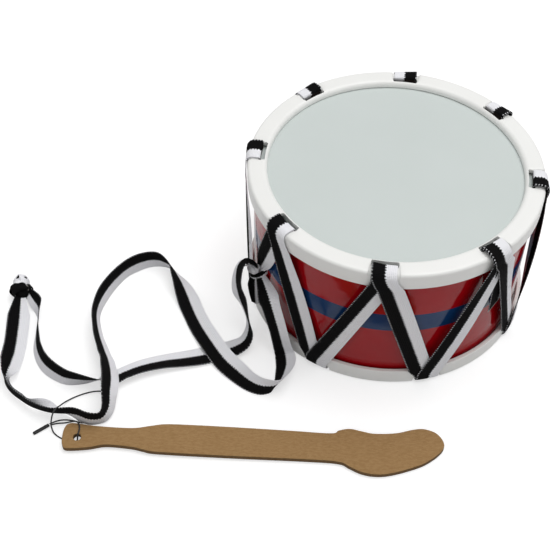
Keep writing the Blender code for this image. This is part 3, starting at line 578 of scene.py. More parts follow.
def grid_faces(rows, ring, closed_rows=False):
    """Quads over rows of points; each row is a ring of `ring` points."""
    faces = []
    for row in range(rows if closed_rows else rows - 1):
        below = row * ring
        above = (row + 1) % rows * ring
        for corner in range(ring):
            beside = (corner + 1) % ring
            faces.append([below + corner, below + beside, above + beside, above + corner])
    return faces


def tube_faces(rows, ring):
    """Quads over rows of points and one face on each end."""
    ends = [list(range(ring)), list(range((rows - 1) * ring, rows * ring))]
    return grid_faces(rows, ring) + ends


def clamped(value):
    """The value, kept between 0 and 1."""
    return min(1.0, max(0.0, value))


def smooth(share):
    """Share from 0 to 1 that leaves 0 and reaches 1 gently."""
    return share * share * (3 - 2 * share)


def arc(centre, radius, start, end, steps):
    """Points on a circular arc, both ends included."""
    points = []
    for step in range(steps + 1):
        angle = math.radians(start + (end - start) * step / steps)
        points.append((centre[0] + radius * math.cos(angle), centre[1] + radius * math.sin(angle)))
    return points


def curve_point(p0, p1, p2, p3, share):
    """Point on the smooth curve from p1 to p2, whose neighbours are p0 and p3."""
    straight = (p2 - p0) * share
    square = (2 * p0 - 5 * p1 + 4 * p2 - p3) * share ** 2
    cube = (3 * p1 - p0 - 3 * p2 + p3) * share ** 3
    return (2 * p1 + straight + square + cube) / 2


def spread_values(values, count):
    """`count` + 1 values along the smooth curve through all the values given."""
    padded = [values[0] * 2 - values[1]] + values + [values[-1] * 2 - values[-2]]
    spread = []
    for number in range(count + 1):
        at = number / count * (len(values) - 1)
        index = min(int(at), len(values) - 2)
        spread.append(curve_point(*padded[index:index + 4], at - index))
    return spread


def route_length(points):
    """Length of the line through the points."""
    return sum((after - before).length for before, after in zip(points, points[1:]))


def tangents(line):
    """Direction of the line at each of its points."""
    ends = zip(line[:1] + line, line[1:] + line[-1:])
    return [(after - before).normalized() for before, after in ends]


def finish_piece(item, body, slot, *nodes):
    """Attach a piece to the body it rides on and hide the nodes it stands for; `slot`, the name of its
    finish, is not used.
    """
    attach(item, body)
    if nodes:
        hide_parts(*nodes)


# Rims

def at_height(end, depth):
    """Height of a point that lies `depth` inside the top or the bottom face."""
    return DRUM_HEIGHT - depth if end == "top" else depth


def notch_azimuth(end, index):
    """Direction of a lacing notch; those of the bottom rim lie between those of the top."""
    offset = 0.0 if end == "top" else BOTTOM_RIM_TURN
    return FIRST_TOP_NOTCH + offset + NOTCH_PITCH * index


def seat_depth(end):
    """How far a notch's seat for the tape lies below the flange."""
    return TOP_SEAT_DEPTH if end == "top" else BOTTOM_SEAT_DEPTH


def rim_point(end, radius, angle, depth):
    """Point that lies `depth` inside the top or the bottom face, at an angle in radians."""
    return Vector((radius * math.cos(angle), radius * math.sin(angle), at_height(end, depth)))


def rim_profile(end, share):
    """Closed profile of a rim as (radius, depth); `share` is 0 between notches and 1 in one."""
    drop = seat_depth(end) * share
    corner_radius = OUTER_CORNER_RADIUS + (NOTCH_CORNER_RADIUS - OUTER_CORNER_RADIUS) * share
    corner = (DRUM_RADIUS - corner_radius, drop + corner_radius)
    edge = (OPENING_RADIUS + INNER_EDGE_RADIUS, INNER_EDGE_RADIUS)
    lip = OPENING_RADIUS + LIP_WALL
    rib = SKIRT_INNER_RADIUS - SEAT_RIB_WIDTH
    skirt = SKIRT_HEIGHT - SKIRT_BEVEL
    profile = [(DRUM_RADIUS - SKIRT_BEVEL, SKIRT_HEIGHT), (DRUM_RADIUS, skirt)]
    profile += [(DRUM_RADIUS, SKIRT_STRAIGHT_FROM)]
    profile += arc(corner, corner_radius, 0, -90, RIM_CORNER_STEPS)
    profile += [(SLOT_OUTER_RADIUS, drop), (SLOT_MIDDLE_RADIUS + LIP_BEVEL, drop)]
    profile += [(SLOT_MIDDLE_RADIUS - LIP_BEVEL, 0)]
    profile += arc(edge, INNER_EDGE_RADIUS, -90, -180, INNER_EDGE_STEPS)
    profile += [(OPENING_RADIUS, LIP_DEPTH - LIP_BEVEL), (OPENING_RADIUS + LIP_BEVEL, LIP_DEPTH)]
    profile += [(lip, LIP_DEPTH), (lip, FLANGE_THICKNESS), (rib, FLANGE_THICKNESS), (rib, LIP_DEPTH)]
    profile += [(SKIRT_INNER_RADIUS, LIP_DEPTH), (SKIRT_INNER_RADIUS, skirt)]
    return profile + [(SKIRT_INNER_RADIUS + SKIRT_BEVEL, SKIRT_HEIGHT)]


def rim_angles():
    """Angles about a notch's middle, in degrees, with the share of the notch at each."""
    half = math.degrees(NOTCH_WIDTH / 2 / SLOT_MIDDLE_RADIUS)
    side = math.degrees(NOTCH_SIDE / SLOT_MIDDLE_RADIUS)
    stations = [(-half + 2 * half * step / NOTCH_STEPS, 1.0) for step in range(NOTCH_STEPS + 1)]
    for step in range(1, NOTCH_SIDE_STEPS + 1):
        share = smooth(1 - step / NOTCH_SIDE_STEPS)
        stations.append((half + side * step / NOTCH_SIDE_STEPS, share))
        stations.insert(0, (-half - side * step / NOTCH_SIDE_STEPS, share))
    free = NOTCH_PITCH - 2 * (half + side)
    return stations + [(half + side + free * step / FLANGE_STEPS, 0.0) for step in range(1, FLANGE_STEPS)]


def slot_outline():
    """Outline of a slot seen from above, as (distance along, radius), with round corners."""
    half = NOTCH_WIDTH / 2 - SLOT_CORNER_RADIUS
    low = SLOT_INNER_RADIUS + SLOT_CORNER_RADIUS
    high = SLOT_OUTER_RADIUS - SLOT_CORNER_RADIUS
    run = [half * (1 - 2 * step / SLOT_STEPS) for step in range(1, SLOT_STEPS)]
    outline = arc((half, high), SLOT_CORNER_RADIUS, 0, 90, SLOT_CORNER_STEPS)
    outline += [(along, SLOT_OUTER_RADIUS) for along in run]
    outline += arc((-half, high), SLOT_CORNER_RADIUS, 90, 180, SLOT_CORNER_STEPS)
    outline += arc((-half, low), SLOT_CORNER_RADIUS, 180, 270, SLOT_CORNER_STEPS)
    outline += [(-along, SLOT_INNER_RADIUS) for along in run]
    return outline + arc((half, low), SLOT_CORNER_RADIUS, 270, 360, SLOT_CORNER_STEPS)


def add_slot_cutter(end, finish):
    """One cutter for all the slots of a rim."""
    outline = slot_outline()
    points = []
    faces = []
    for index in range(NOTCH_COUNT):
        turn = math.radians(notch_azimuth(end, index))
        first = len(points)
        for depth in (-CUTTER_OVERSHOOT, LIP_DEPTH - CLEARANCE):
            points += [rim_point(end, radius, turn + along / radius, depth) for along, radius in outline]
        faces += [[first + number for number in face] for face in tube_faces(2, len(outline))]
    return add_mesh(end + "_slot_cutter", points, faces, [finish], smooth=False)


def add_rim(end, finish):
    """Moulded rim with lowered seats for the tape and a slot through each."""
    points = []
    stations = rim_angles()
    for index in range(NOTCH_COUNT):
        for turn, share in stations:
            angle = math.radians(notch_azimuth(end, index) + turn)
            points += [rim_point(end, radius, angle, depth) for radius, depth in rim_profile(end, share)]
    ring = len(rim_profile(end, 0))
    faces = grid_faces(NOTCH_COUNT * len(stations), ring, closed_rows=True)
    rim = add_mesh("rim_" + end, points, faces, [finish])
    cut_away(rim, add_slot_cutter(end, finish))
    finish_piece(rim, "drum", "rim_plastic", end + "_rim")


# Shell

def add_shell(finish):
    """Printed cylinder between the heads."""
    low = SHELL_EDGE_DEPTH
    high = DRUM_HEIGHT - SHELL_EDGE_DEPTH
    heights = [low + (high - low) * step / SHELL_STEPS for step in range(SHELL_STEPS + 1)]
    profile = [(SHELL_OUTER_RADIUS, height) for height in heights]
    inner = SHELL_OUTER_RADIUS - SHELL_WALL
    profile += [(inner, high), (inner, low)]
    points = []
    for step in range(SEGMENTS):
        angle = math.tau * step / SEGMENTS
        points += [(radius * math.cos(angle), radius * math.sin(angle), z) for radius, z in profile]
    faces = grid_faces(SEGMENTS, len(profile), closed_rows=True)
    shell = add_mesh("shell_print", points, faces, [finish])
    finish_piece(shell, "drum", "printed_shell", "shell")


# Woven tape

def add_tape(name, rows, finish, shares=(0.0, 1.0)):
    """Tape through rows of (inner points, outer points), with its edges thinned.

    `shares` are the first and the last share of the tape's width that the rows show.
    """
    thin = [THIN_EDGE_SHARE * max(0.0, abs(side) - THIN_EDGE_FROM) / (1 - THIN_EDGE_FROM) for side in SIDES]
    across = [shares[0] + (shares[1] - shares[0]) * (side + 1) / 2 for side in SIDES]
    points = []
    uvs = []
    travelled = 0.0
    before = None
    for inner, outer in rows:
        middle = (inner[TAPE_COLUMNS // 2] + outer[TAPE_COLUMNS // 2]) / 2
        travelled += (middle - before).length if before is not None else 0.0
        before = middle
        low = [a.lerp(b, share) for a, b, share in zip(inner, outer, thin)]
        high = [b.lerp(a, share) for a, b, share in zip(inner, outer, thin)]
        points += low + high[::-1]
        uvs += [(share, travelled) for share in across + across[::-1]]
    ring = 2 * len(SIDES)
    faces = grid_faces(len(rows), ring)
    for first in (0, len(points) - ring):
        for column in range(TAPE_COLUMNS):
            other = ring - 1 - column
            faces.append([first + number for number in (column, column + 1, other - 1, other)])
    return add_mesh(name, points, faces, [finish], uvs)


def lace_drift(height):
    """How far a leg has moved sideways at a height, from 0 at the bottom to 1 at the top."""
    reach = DRUM_HEIGHT - 2 * LACE_START_DEPTH
    run = min(max(height - LACE_START_DEPTH, 0.0), reach)
    full = reach - LACE_TURN
    if run < LACE_TURN:
        return run * run / (2 * LACE_TURN) / full
    if run > reach - LACE_TURN:
        return 1.0 - (reach - run) ** 2 / (2 * LACE_TURN) / full
    return (run - LACE_TURN / 2) / full


def tape_half_width(height):
    """Half the level width of a leg, which grows where the leg slants."""
    step = 0.05
    change = lace_drift(height + step) - lace_drift(height - step)
    slope = change / (2 * step) * math.radians(NOTCH_PITCH / 2) * DRUM_RADIUS
    return TAPE_WIDTH / 2 * math.hypot(1.0, slope)


def lace_stations(end, offset):
    """Route of one layer of tape from the slot to the skirt's edge, as (radius, depth)."""
    seat = seat_depth(end)
    start = seat + NOTCH_CORNER_RADIUS
    points = [(SLOT_OUTER_RADIUS - offset, FOLD_DEPTH - 2 * LAYER_PITCH)]
    points += arc((SLOT_OUTER_RADIUS, seat), offset, 180, 270, BEND_STEPS)
    middle = (DRUM_RADIUS - NOTCH_CORNER_RADIUS, start)
    points += arc(middle, NOTCH_CORNER_RADIUS + offset, -90, 0, NOTCH_CORNER_STEPS)
    down = [start + (SKIRT_HEIGHT - start) * step / SKIRT_STEPS for step in range(1, SKIRT_STEPS + 1)]
    return points + [(DRUM_RADIUS + offset, depth) for depth in down]


def lift_shares(end, count):
    """How much of the black edge's lift each station has: none deep in the slot, all on the seat."""
    if end == "bottom":
        return [0.0] * count
    return [smooth(clamped((station - 1) / BEND_STEPS)) for station in range(count)]


def layer_faces(offset):
    """Offsets of the tape's two faces, about the middle of its layer."""
    return (offset - TAPE_THICKNESS / 2, offset + TAPE_THICKNESS / 2)


def end_rows(end, azimuth, direction, offset):
    """Rows of one layer from inside the slot to the skirt's edge.

    `direction` is +1 for a leg that leaves the notch to larger azimuths, -1 to smaller.
    Legs that fall to the right spread a little further from their notches.
    """
    falls_right = (end == "top") == (direction > 0)
    sweep = math.radians(BOTTOM_RIM_TURN if falls_right else NOTCH_PITCH - BOTTOM_RIM_TURN)
    spread = LACE_SPREAD if falls_right else 0.0
    seat = seat_depth(end)
    faces = []
    for face in layer_faces(offset):
        flat = lace_stations(end, face)
        lifted = lace_stations(end, face + BLACK_LIFT)
        rows = []
        for share, low, high in zip(lift_shares(end, len(flat)), flat, lifted):
            height = DRUM_HEIGHT - low[1]
            drift = (1.0 - lace_drift(height)) * sweep
            drift += spread * max(0.0, low[1] - seat) / (SKIRT_HEIGHT - seat) / low[0]
            half = tape_half_width(height)
            line = []
            for side in SIDES:
                lift = share * ((1 - side) / 2) ** 2
                radius = low[0] + (high[0] - low[0]) * lift
                depth = low[1] + (high[1] - low[1]) * lift
                angle = math.radians(azimuth) + direction * drift + side * half / radius
                line.append(rim_point(end, radius, angle, depth))
            rows.append(line)
        faces.append(rows)
    return list(zip(*faces))


def fold_rows(end, azimuth, offset_in, offset_out):
    """Rows of the turn inside the slot, from one layer to another that lies over it."""
    middle = (offset_in + offset_out) / 2
    reach = (offset_out - offset_in) / 2
    rows = []
    for step in range(1, FOLD_STEPS):
        swing = math.pi * step / FOLD_STEPS
        row = []
        for face in (1, -1):
            turn_radius = reach + face * TAPE_THICKNESS / 2
            radius = SLOT_OUTER_RADIUS - middle + turn_radius * math.cos(swing)
            depth = FOLD_DEPTH - reach - TAPE_THICKNESS / 2 + turn_radius * math.sin(swing)
            angles = [math.radians(azimuth) + side * TAPE_WIDTH / 2 / radius for side in SIDES]
            row.append([rim_point(end, radius, angle, depth) for angle in angles])
        rows.append(tuple(row))
    return rows


def turned_over(rows):
    """The same rows with the tape's two faces swapped, as they are after a fold."""
    return [(outer, inner) for inner, outer in rows]


def straight_row(row_a, row_b, share):
    """Row on the straight lines from one row to another."""
    return tuple([a.lerp(b, share) for a, b in zip(face_a, face_b)] for face_a, face_b in zip(row_a, row_b))


def outward_of(row):
    """Direction from the tape's inner face to its outer face."""
    middle = TAPE_COLUMNS // 2
    return (row[1][middle] - row[0][middle]).normalized()


def reshaped(row, move):
    """Row whose points are moved by a function of the place across the tape and the point."""
    return tuple([move(side, point) for side, point in zip(SIDES, face)] for face in row)


def leaned_row(row, kind, share_down):
    """The same row with its slack black edge further out and its tight white edge further in."""
    swell = BLACK_SLACK[kind] * math.sin(math.pi * share_down ** SLACK_SKEW)
    sink = WHITE_SINK[kind] * math.sin(math.pi * share_down)
    outward = outward_of(row)

    def leaned(side, point):
        out = swell * ((1 - side) / 2) ** EDGE_POWER - sink * ((1 + side) / 2) ** EDGE_POWER
        return point + outward * out

    return reshaped(row, leaned)


def pinch(height):
    """Share of the tape's width that is left where the strap's knot gathers it."""
    return 1.0 - PINCH_SHARE * math.exp(-((height - PINCH_HEIGHT) / PINCH_REACH) ** 2)


def gathered_row(row):
    """The same row drawn in by the strap's knot; the slack goes into ripples."""
    middle = TAPE_COLUMNS // 2
    gather = pinch(row[0][middle].z)
    outward = outward_of(row) * (PINCH_RIPPLE * (1 - gather))
    ripples = [outward * math.cos(side * PINCH_RIPPLE_COUNT * math.tau) for side in SIDES]
    narrow = []
    for face in row:
        narrow.append([face[middle].lerp(point, gather) + ripple for point, ripple in zip(face, ripples)])
    return tuple(narrow)


def leg_row(row_a, row_b, share, kind):
    """Row of a free leg. A rising leg bulges a third of the way up, where it lies over a falling one."""
    row = straight_row(row_a, row_b, share)
    if kind == "falling":
        return leaned_row(row, kind, share)
    row = leaned_row(row, kind, 1 - share)
    # The curve's own top, which it reaches a third of the way up
    peak = 1 / 3 * (1 - 1 / 3) ** 2
    bulge = outward_of(row) * (RISING_BULGE * share * (1 - share) ** 2 / peak)
    row = reshaped(row, lambda side, point: point + bulge)
    return gathered_row(row) if kind == "tied" else row


def leg_span(row_a, row_b, kind):
    """Free rows of a leg between the two skirts."""
    return [leg_row(row_a, row_b, step / SPAN_STEPS, kind) for step in range(1, SPAN_STEPS)]


def tail_rows():
    """The lace's loose end: it hangs behind a leg, outside the skirt, cut on a slant."""
    azimuth = math.radians(notch_azimuth("top", LACE_END_NOTCH))
    rows = end_rows("top", math.degrees(azimuth), 1, FIRST_LAYER)
    drop = LACE_TAIL_LENGTH - SKIRT_HEIGHT
    outward = Vector((math.cos(azimuth), math.sin(azimuth), 0))
    right = Vector((-outward.y, outward.x, 0))
    hanging = []
    for step in range(1, LACE_TAIL_STEPS + 1):
        share = step / LACE_TAIL_STEPS
        lean = right * (LACE_TAIL_DRIFT * share) - outward * (LACE_TAIL_LEAN * share)
        falls = [Vector((0, 0, (drop - side * LACE_TAIL_SLANT / 2) * share)) for side in SIDES]
        row = [[point + lean - fall for point, fall in zip(face, falls)] for face in rows[-1]]
        hanging.append(tuple(row))
    return hanging[::-1] + rows[::-1]


def mark_slot_shade(lacing):
    """Mark the tape inside the slots, whose colour is darkened there as painted shade."""
    values = []
    for vertex in lacing.data.vertices:
        spot = (vertex.co - DRUM_AXIS) / MM
        radius = math.hypot(spot.x, spot.y)
        depth = min(spot.z, DRUM_HEIGHT - spot.z)
        inside = (SLOT_OUTER_RADIUS + SLOT_SHADE_INSIDE - radius) / SLOT_SHADE_FADE[0]
        below = (depth + SLOT_SHADE_BELOW) / SLOT_SHADE_FADE[1]
        values.append(clamped(inside) * clamped(below))
    layer = lacing.data.attributes.new("slot_shade", "FLOAT", "POINT")
    layer.data.foreach_set("value", values)


def lace_rows():
    """All rows of the lacing tape in one piece, from its tail round to its end, which it tucks into a slot.
    """
    rows = tail_rows()
    inner = FIRST_LAYER
    outer = FIRST_LAYER + LAYER_PITCH
    third = FIRST_LAYER + 2 * LAYER_PITCH
    for step in range(NOTCH_COUNT):
        notch = LACE_END_NOTCH + step
        azimuth = notch_azimuth("top", notch)
        top_layer = third if step == 0 else outer
        rows += fold_rows("top", azimuth, inner, top_layer)
        below = notch_azimuth("bottom", notch)
        falling = end_rows("top", azimuth, 1, top_layer)
        landing = end_rows("bottom", below, -1, inner)[::-1]
        falling += leg_span(falling[-1], landing[0], "falling") + landing
        falling += fold_rows("bottom", below, inner, outer)
        rows += turned_over(falling)
        start = end_rows("bottom", below, 1, outer)
        top_inner = outer if step == NOTCH_COUNT - 1 else inner
        end = end_rows("top", notch_azimuth("top", notch + 1), -1, top_inner)
        kind = LEG_KINDS.get((notch + 1) % NOTCH_COUNT, "rising")
        rows += start + leg_span(start[-1], end[-1], kind) + end[::-1]
    return rows


def folded_half(side, normal, half, curl):
    """Place of a column across a tape whose white half folds back by `curl` degrees."""
    if side <= 0:
        return half * side
    turn = math.radians(curl) * min(1.0, side / CURL_SHARE)
    reach = half.length * side
    return half.normalized() * (reach * math.cos(turn)) + normal * (reach * math.sin(turn))


def smooth_lifts(needed):
    """Lifts that are at least what each row needs and change gently along the strand."""
    reach = LIFT_REACH
    padded = [needed[0]] * reach + needed + [needed[-1]] * reach
    highest = [max(padded[index:index + 2 * reach + 1]) for index in range(len(needed))]
    padded = [highest[0]] * reach + highest + [highest[-1]] * reach
    return [sum(padded[index:index + 2 * reach + 1]) / (2 * reach + 1) for index in range(len(needed))]


def strand_rows(route, curls):
    """Rows of a strap strand, and the middle line that they follow."""
    middles = [Vector(point[:3]) for point in route]
    across = []
    for point in route:
        heading = math.radians(point[3])
        tilt = math.radians(point[4])
        level = math.cos(tilt)
        across.append(Vector((level * math.cos(heading), level * math.sin(heading), math.sin(tilt))))
    count = round(route_length(middles) / STRAP_STEP)
    line = spread_values(middles, count)
    sides = spread_values(across, count)
    folds = spread_values([float(curls.get(index, 0)) for index in range(len(route))], count)
    length = route_length(line)
    normals = []
    widths = []
    needed = []
    travelled = 0.0
    for index, (middle, tangent) in enumerate(zip(line, tangents(line))):
        travelled += (middle - line[index - 1]).length if index else 0.0
        side = (sides[index] - tangent * sides[index].dot(tangent)).normalized()
        normal = tangent.cross(side)
        from_end = min(travelled, length - travelled)
        gather = 1.0 - GATHER_SHARE * max(0.0, 1.0 - from_end / GATHER_LENGTH)
        half = side * (TAPE_WIDTH / 2 * gather)
        columns = [folded_half(share, normal, half, folds[index]) for share in SIDES]
        lowest = middle.z + min(column.z for column in columns) - TAPE_THICKNESS / 2
        normals.append(normal)
        widths.append(columns)
        needed.append(max(0.0, FLOOR_GAP - lowest))
    laid = [middle + Vector((0, 0, lift)) for middle, lift in zip(line, smooth_lifts(needed))]
    rows = []
    for middle, normal, columns in zip(laid, normals, widths):
        faces = []
        for face in (-0.5, 0.5):
            faces.append([middle + normal * (TAPE_THICKNESS * face) + column for column in columns])
        rows.append(tuple(faces))
    return rows, laid


def outside_knots(line):
    """The part of a strand's middle line that lies outside both knots' cores."""
    knots = ((DRUM_KNOT_AT, DRUM_KNOT_REACH * MM), (place(FAR_KNOT_CENTRE), FAR_KNOT_REACH * MM))
    return [point for point in line if all((point - knot).length >= reach for knot, reach in knots)]


def add_strand(name, route, curls, node, finish):
    """One strand of the strap."""
    rows, line = strand_rows(route, curls)
    strand = add_tape(name, rows, finish)
    finish_piece(strand, "drum", "strap_tape", node)
    return strand, [place(point) for point in line]


# Knots

def knot_core(name, centre, finish, size, white_way, shares, marks=()):
    """Egg-shaped heart of a knot.

    The tape's width runs across it between two shares, towards `white_way`; its black
    side peeks out at `marks`, which are directions from the middle.
    """
    white_way = Vector(white_way).normalized()
    points = []
    uvs = []
    for level in range(KNOT_LEVELS + 1):
        lift = math.pi * (level / KNOT_LEVELS - 0.5)
        flat = max(math.cos(lift), KNOT_POLE)
        for side in range(KNOT_SIDES):
            angle = math.tau * side / KNOT_SIDES
            way = Vector((flat * math.cos(angle), flat * math.sin(angle), math.sin(lift)))
            ripple = 1 + KNOT_SWELL * math.sin(3 * angle + 2 * lift) + KNOT_CREASE * math.sin(7 * angle)
            local = Vector(part * ripple * length / 2 for part, length in zip(way, size))
            points.append(Vector(centre) + local)
            across = shares[0] + (shares[1] - shares[0]) * (0.5 + 0.5 * way.dot(white_way))
            if any(way.dot(Vector(mark).normalized()) > KNOT_MARK_EDGE for mark in marks):
                across = KNOT_MARK_SHARE
            uvs.append((across, KNOT_ALONG + local.z))
    return add_mesh(name, points, tube_faces(KNOT_LEVELS + 1, KNOT_SIDES), [finish], uvs)


def add_wrap(name, centre, finish, size, axis, width, lift, shares):
    """Turn of tape round an egg-shaped core, square to `axis`; its ends dive into the core."""
    axis = Vector(axis).normalized()
    first = axis.orthogonal().normalized()
    second = axis.cross(first)
    radii = Vector(size) / 2
    rows = []
    for step in range(WRAP_STEPS + 1):
        angle = math.tau * step / WRAP_STEPS
        direction = first * math.cos(angle) + second * math.sin(angle)
        dive = WRAP_DIVE * max(0.0, 1 - min(step, WRAP_STEPS - step) / WRAP_DIVE_STEPS) ** 2
        faces = []
        for face in (0.0, WRAP_THICKNESS):
            line = []
            for side in SIDES:
                ray = direction * (sum(radii) / 3) + axis * (side * width / 2)
                scale = 1 / math.sqrt(sum((part / radius) ** 2 for part, radius in zip(ray, radii)))
                crease = WRAP_CREASE * math.cos(side * math.tau) * math.sin(angle * 2)
                line.append(Vector(centre) + ray * scale + ray.normalized() * (lift + face + crease - dive))
            faces.append(line)
        rows.append(tuple(faces))
    return add_tape(name, rows, finish, shares)


def add_drum_knot(finish):
    """Knot round the tied leg: a heart, a band round the leg and a loose end."""
    heart = knot_core(
        "knot_on_drum", DRUM_KNOT_HEART, finish,
        size=(8.6, 8.4, 8.4), white_way=(-0.6, -0.8, 0), shares=(0.62, 0.95))
    band = add_wrap(
        "knot_band", DRUM_KNOT_BAND, finish,
        size=(11.6, 9.4, 12.0), axis=(-0.42, 0.1, 1), width=5.6, lift=0.2, shares=(0.98, 0.08))
    tail = add_tape("knot_tail", strand_rows(DRUM_KNOT_TAIL, {})[0], finish)
    finish_piece(heart, "drum", "strap_tape", "drum_knot")
    for piece in (band, tail):
        finish_piece(piece, "drum", "strap_tape")
    return [heart, band, tail]


def add_far_knot(finish):
    """Knot that joins the two strands at their far end: a white bulb above two crossed black turns."""
    bulb = knot_core(
        "knot_at_end", FAR_KNOT_BULB, finish,
        size=(11.6, 16.6, 12.0), white_way=(0, 1, 0.3), shares=(0.66, 0.98), marks=FAR_KNOT_MARKS)
    core = knot_core(
        "knot_at_end_core", FAR_KNOT_WAIST, finish,
        size=(11.6, 10.4, 10.6), white_way=(0, 1, 0), shares=(0.1, 0.3))
    left = add_wrap(
        "end_turn_left", FAR_KNOT_LEFT_TURN, finish,
        size=(11.0, 12.0, 11.4), axis=(0.45, 0.88, 0.1), width=9.0, lift=0.0, shares=(0.06, 0.5))
    right = add_wrap(
        "end_turn_right", FAR_KNOT_WAIST, finish,
        size=(13.4, 12.6, 12.6), axis=(-0.35, 0.94, 0.05), width=7.8, lift=0.3, shares=(0.06, 0.5))
    finish_piece(bulb, "drum", "strap_tape", "far_knot")
    for piece in (core, left, right):
        finish_piece(piece, "drum", "strap_tape")
    return [bulb, core, left, right]


# Beater and elastic

def beater_ring():
    """Points round the stick's outline, on a smooth curve through its corners."""
    outline = [Vector((along, across, 0)) for along, across in BEATER_OUTLINE]
    ring = []
    for index, corner in enumerate(outline):
        after = outline[(index + 1) % len(outline)]
        beyond = outline[(index + 2) % len(outline)]
        for part in range(BEATER_CURVE_STEPS):
            share = part / BEATER_CURVE_STEPS
            ring.append(curve_point(outline[index - 1], corner, after, beyond, share))
    return ring


def beater_lay():
    """How the stick lies: turned a little, with its end raised on the elastic below its hole."""
    dip = math.atan2(BEATER_HOLE_LIFT, BEATER_LENGTH + BEATER_OUTLINE[0][0])
    heading = Matrix.Rotation(math.radians(BEATER_HEADING), 4, "Z")
    return Matrix.Translation((*BEATER_HOLE_AT, BEATER_HOLE_LIFT)) @ heading @ Matrix.Rotation(dip, 4, "Y")


def add_drill(lay, finishes):
    """Cutter for the stick's hole."""
    hole = arc((0, 0), BEATER_HOLE_RADIUS, 0, 360 - 360 / BEATER_HOLE_SIDES, BEATER_HOLE_SIDES - 1)
    reach = 2 * BEATER_THICKNESS
    points = [lay @ Vector((x, y, level)) for level in (-reach, reach) for x, y in hole]
    faces = tube_faces(2, BEATER_HOLE_SIDES)
    return add_mesh("beater_drill", points, faces, finishes, face_materials=[1] * len(faces))


def add_beater(face_finish, edge_finish):
    """Flat stick cut from fibreboard, with its rim softened and a hole near its end."""
    ring = beater_ring()
    lay = beater_lay()
    finishes = [face_finish, edge_finish]
    lift = Vector((0, 0, BEATER_THICKNESS))
    points = [lay @ point for point in ring + [point + lift for point in ring]]
    slots = [1] * len(ring) + [0, 0]
    beater = add_mesh("beater_stick", points, tube_faces(2, len(ring)), finishes, face_materials=slots)
    cut_away(beater, add_drill(lay, finishes))
    softened = beater.modifiers.new("softened rim", "BEVEL")
    softened.width = BEATER_EDGE_RADIUS * MM
    softened.segments = 3
    softened.limit_method = "ANGLE"
    softened.angle_limit = math.radians(60)
    bake(beater)
    finish_piece(beater, "beater", "fibreboard", "beater")


def add_elastic(finish):
    """Elastic loop as a round tube along its route."""
    route = [Vector(point) for point in ELASTIC_ROUTE]
    line = spread_values(route, round(route_length(route) / ELASTIC_STEP))
    points = []
    side_way = Vector((0, 0, 1))
    for middle, tangent in zip(line, tangents(line)):
        side_way = (side_way - tangent * side_way.dot(tangent)).normalized()
        other = tangent.cross(side_way)
        for side in range(ELASTIC_SIDES):
            angle = math.tau * side / ELASTIC_SIDES
            offset = side_way * math.cos(angle) + other * math.sin(angle)
            points.append(middle + offset * (ELASTIC_DIAMETER / 2))
    loop = add_mesh("elastic_cord", points, tube_faces(len(line), ELASTIC_SIDES), [finish])
    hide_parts("elastic_loop")
    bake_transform(loop)
    return loop, [place(point) for point in line]


def add_crimp(finish):
    """Sleeve pressed flat on the two ends of the elastic, with the marks of the pliers."""
    heading = math.radians(CRIMP_HEADING)
    along = Vector((math.cos(heading), math.sin(heading), 0))
    side = Vector((-along.y, along.x, 0))
    points = []
    for step in range(CRIMP_STEPS + 1):
        travel = CRIMP_LENGTH * step / CRIMP_STEPS
        from_end = max(0.0, min(travel, CRIMP_LENGTH - travel))
        size = CRIMP_END_SHARE + (1 - CRIMP_END_SHARE) * min(1.0, from_end / CRIMP_END_LENGTH) ** 0.5
        dent = CRIMP_DENT * math.cos(travel * math.tau / CRIMP_DENT_PITCH)
        for corner in range(CRIMP_SIDES):
            angle = math.tau * corner / CRIMP_SIDES
            point = Vector(CRIMP_MOUTH) + along * (travel + CLEARANCE)
            point += side * (CRIMP_WIDTH / 2 * (size + dent / 3) * math.cos(angle))
            point.z += CRIMP_HEIGHT / 2 * (size - max(0.0, dent)) * math.sin(angle)
            points.append(point)
    crimp = add_mesh("crimp_on_elastic", points, tube_faces(CRIMP_STEPS + 1, CRIMP_SIDES), [finish])
    finish_piece(crimp, "drum", "crimp", "crimp_sleeve")
    return crimp


# Stage

def add_camera():
    """Camera at the photograph's angle."""
    pitch = math.radians(CAMERA_PITCH)
    roll = math.radians(CAMERA_ROLL)
    forward = Vector((0, math.cos(pitch), -math.sin(pitch)))
    up = Vector((0, math.sin(pitch), math.cos(pitch)))
    right = Vector((1, 0, 0))
    turned_right = right * math.cos(roll) + up * math.sin(roll)
    turned_up = up * math.cos(roll) - right * math.sin(roll)
    data = bpy.data.cameras.new("camera")
    data.sensor_width = CAMERA_SENSOR
    data.lens = CAMERA_LENS
    data.clip_end = 20
    camera = add_object("camera", data)
    turn = Matrix((turned_right, turned_up, -forward)).transposed().to_4x4()
    camera.matrix_world = Matrix.Translation(place(CAMERA_AT)) @ turn
    bpy.context.scene.camera = camera


def stage_material():
    """Pale floor that looks white to the camera and in reflections, and keeps shadows."""
    grey = (FLOOR_LEVEL, FLOOR_LEVEL, FLOOR_LEVEL, 1)
    finish = Finish("floor", Roughness=1.0, Specular_IOR_Level=0.0, Base_Color=grey)
    rays = finish.node("ShaderNodeLightPath")
    camera = finish.times(rays.outputs["Is Camera Ray"], FLOOR_GLOW_SEEN)
    mirrored = finish.math("MAXIMUM", rays.outputs["Is Glossy Ray"], rays.outputs["Is Transmission Ray"])
    seen = finish.plus(camera, finish.times(mirrored, FLOOR_GLOW_MIRRORED))
    glow = finish.node("ShaderNodeEmission", {"Strength": seen})
    both = finish.node("ShaderNodeAddShader", {0: finish.shader.outputs[0], 1: glow.outputs[0]})
    finish.feed(finish.tree.nodes["Material Output"].inputs["Surface"], both.outputs[0])
    return finish.material


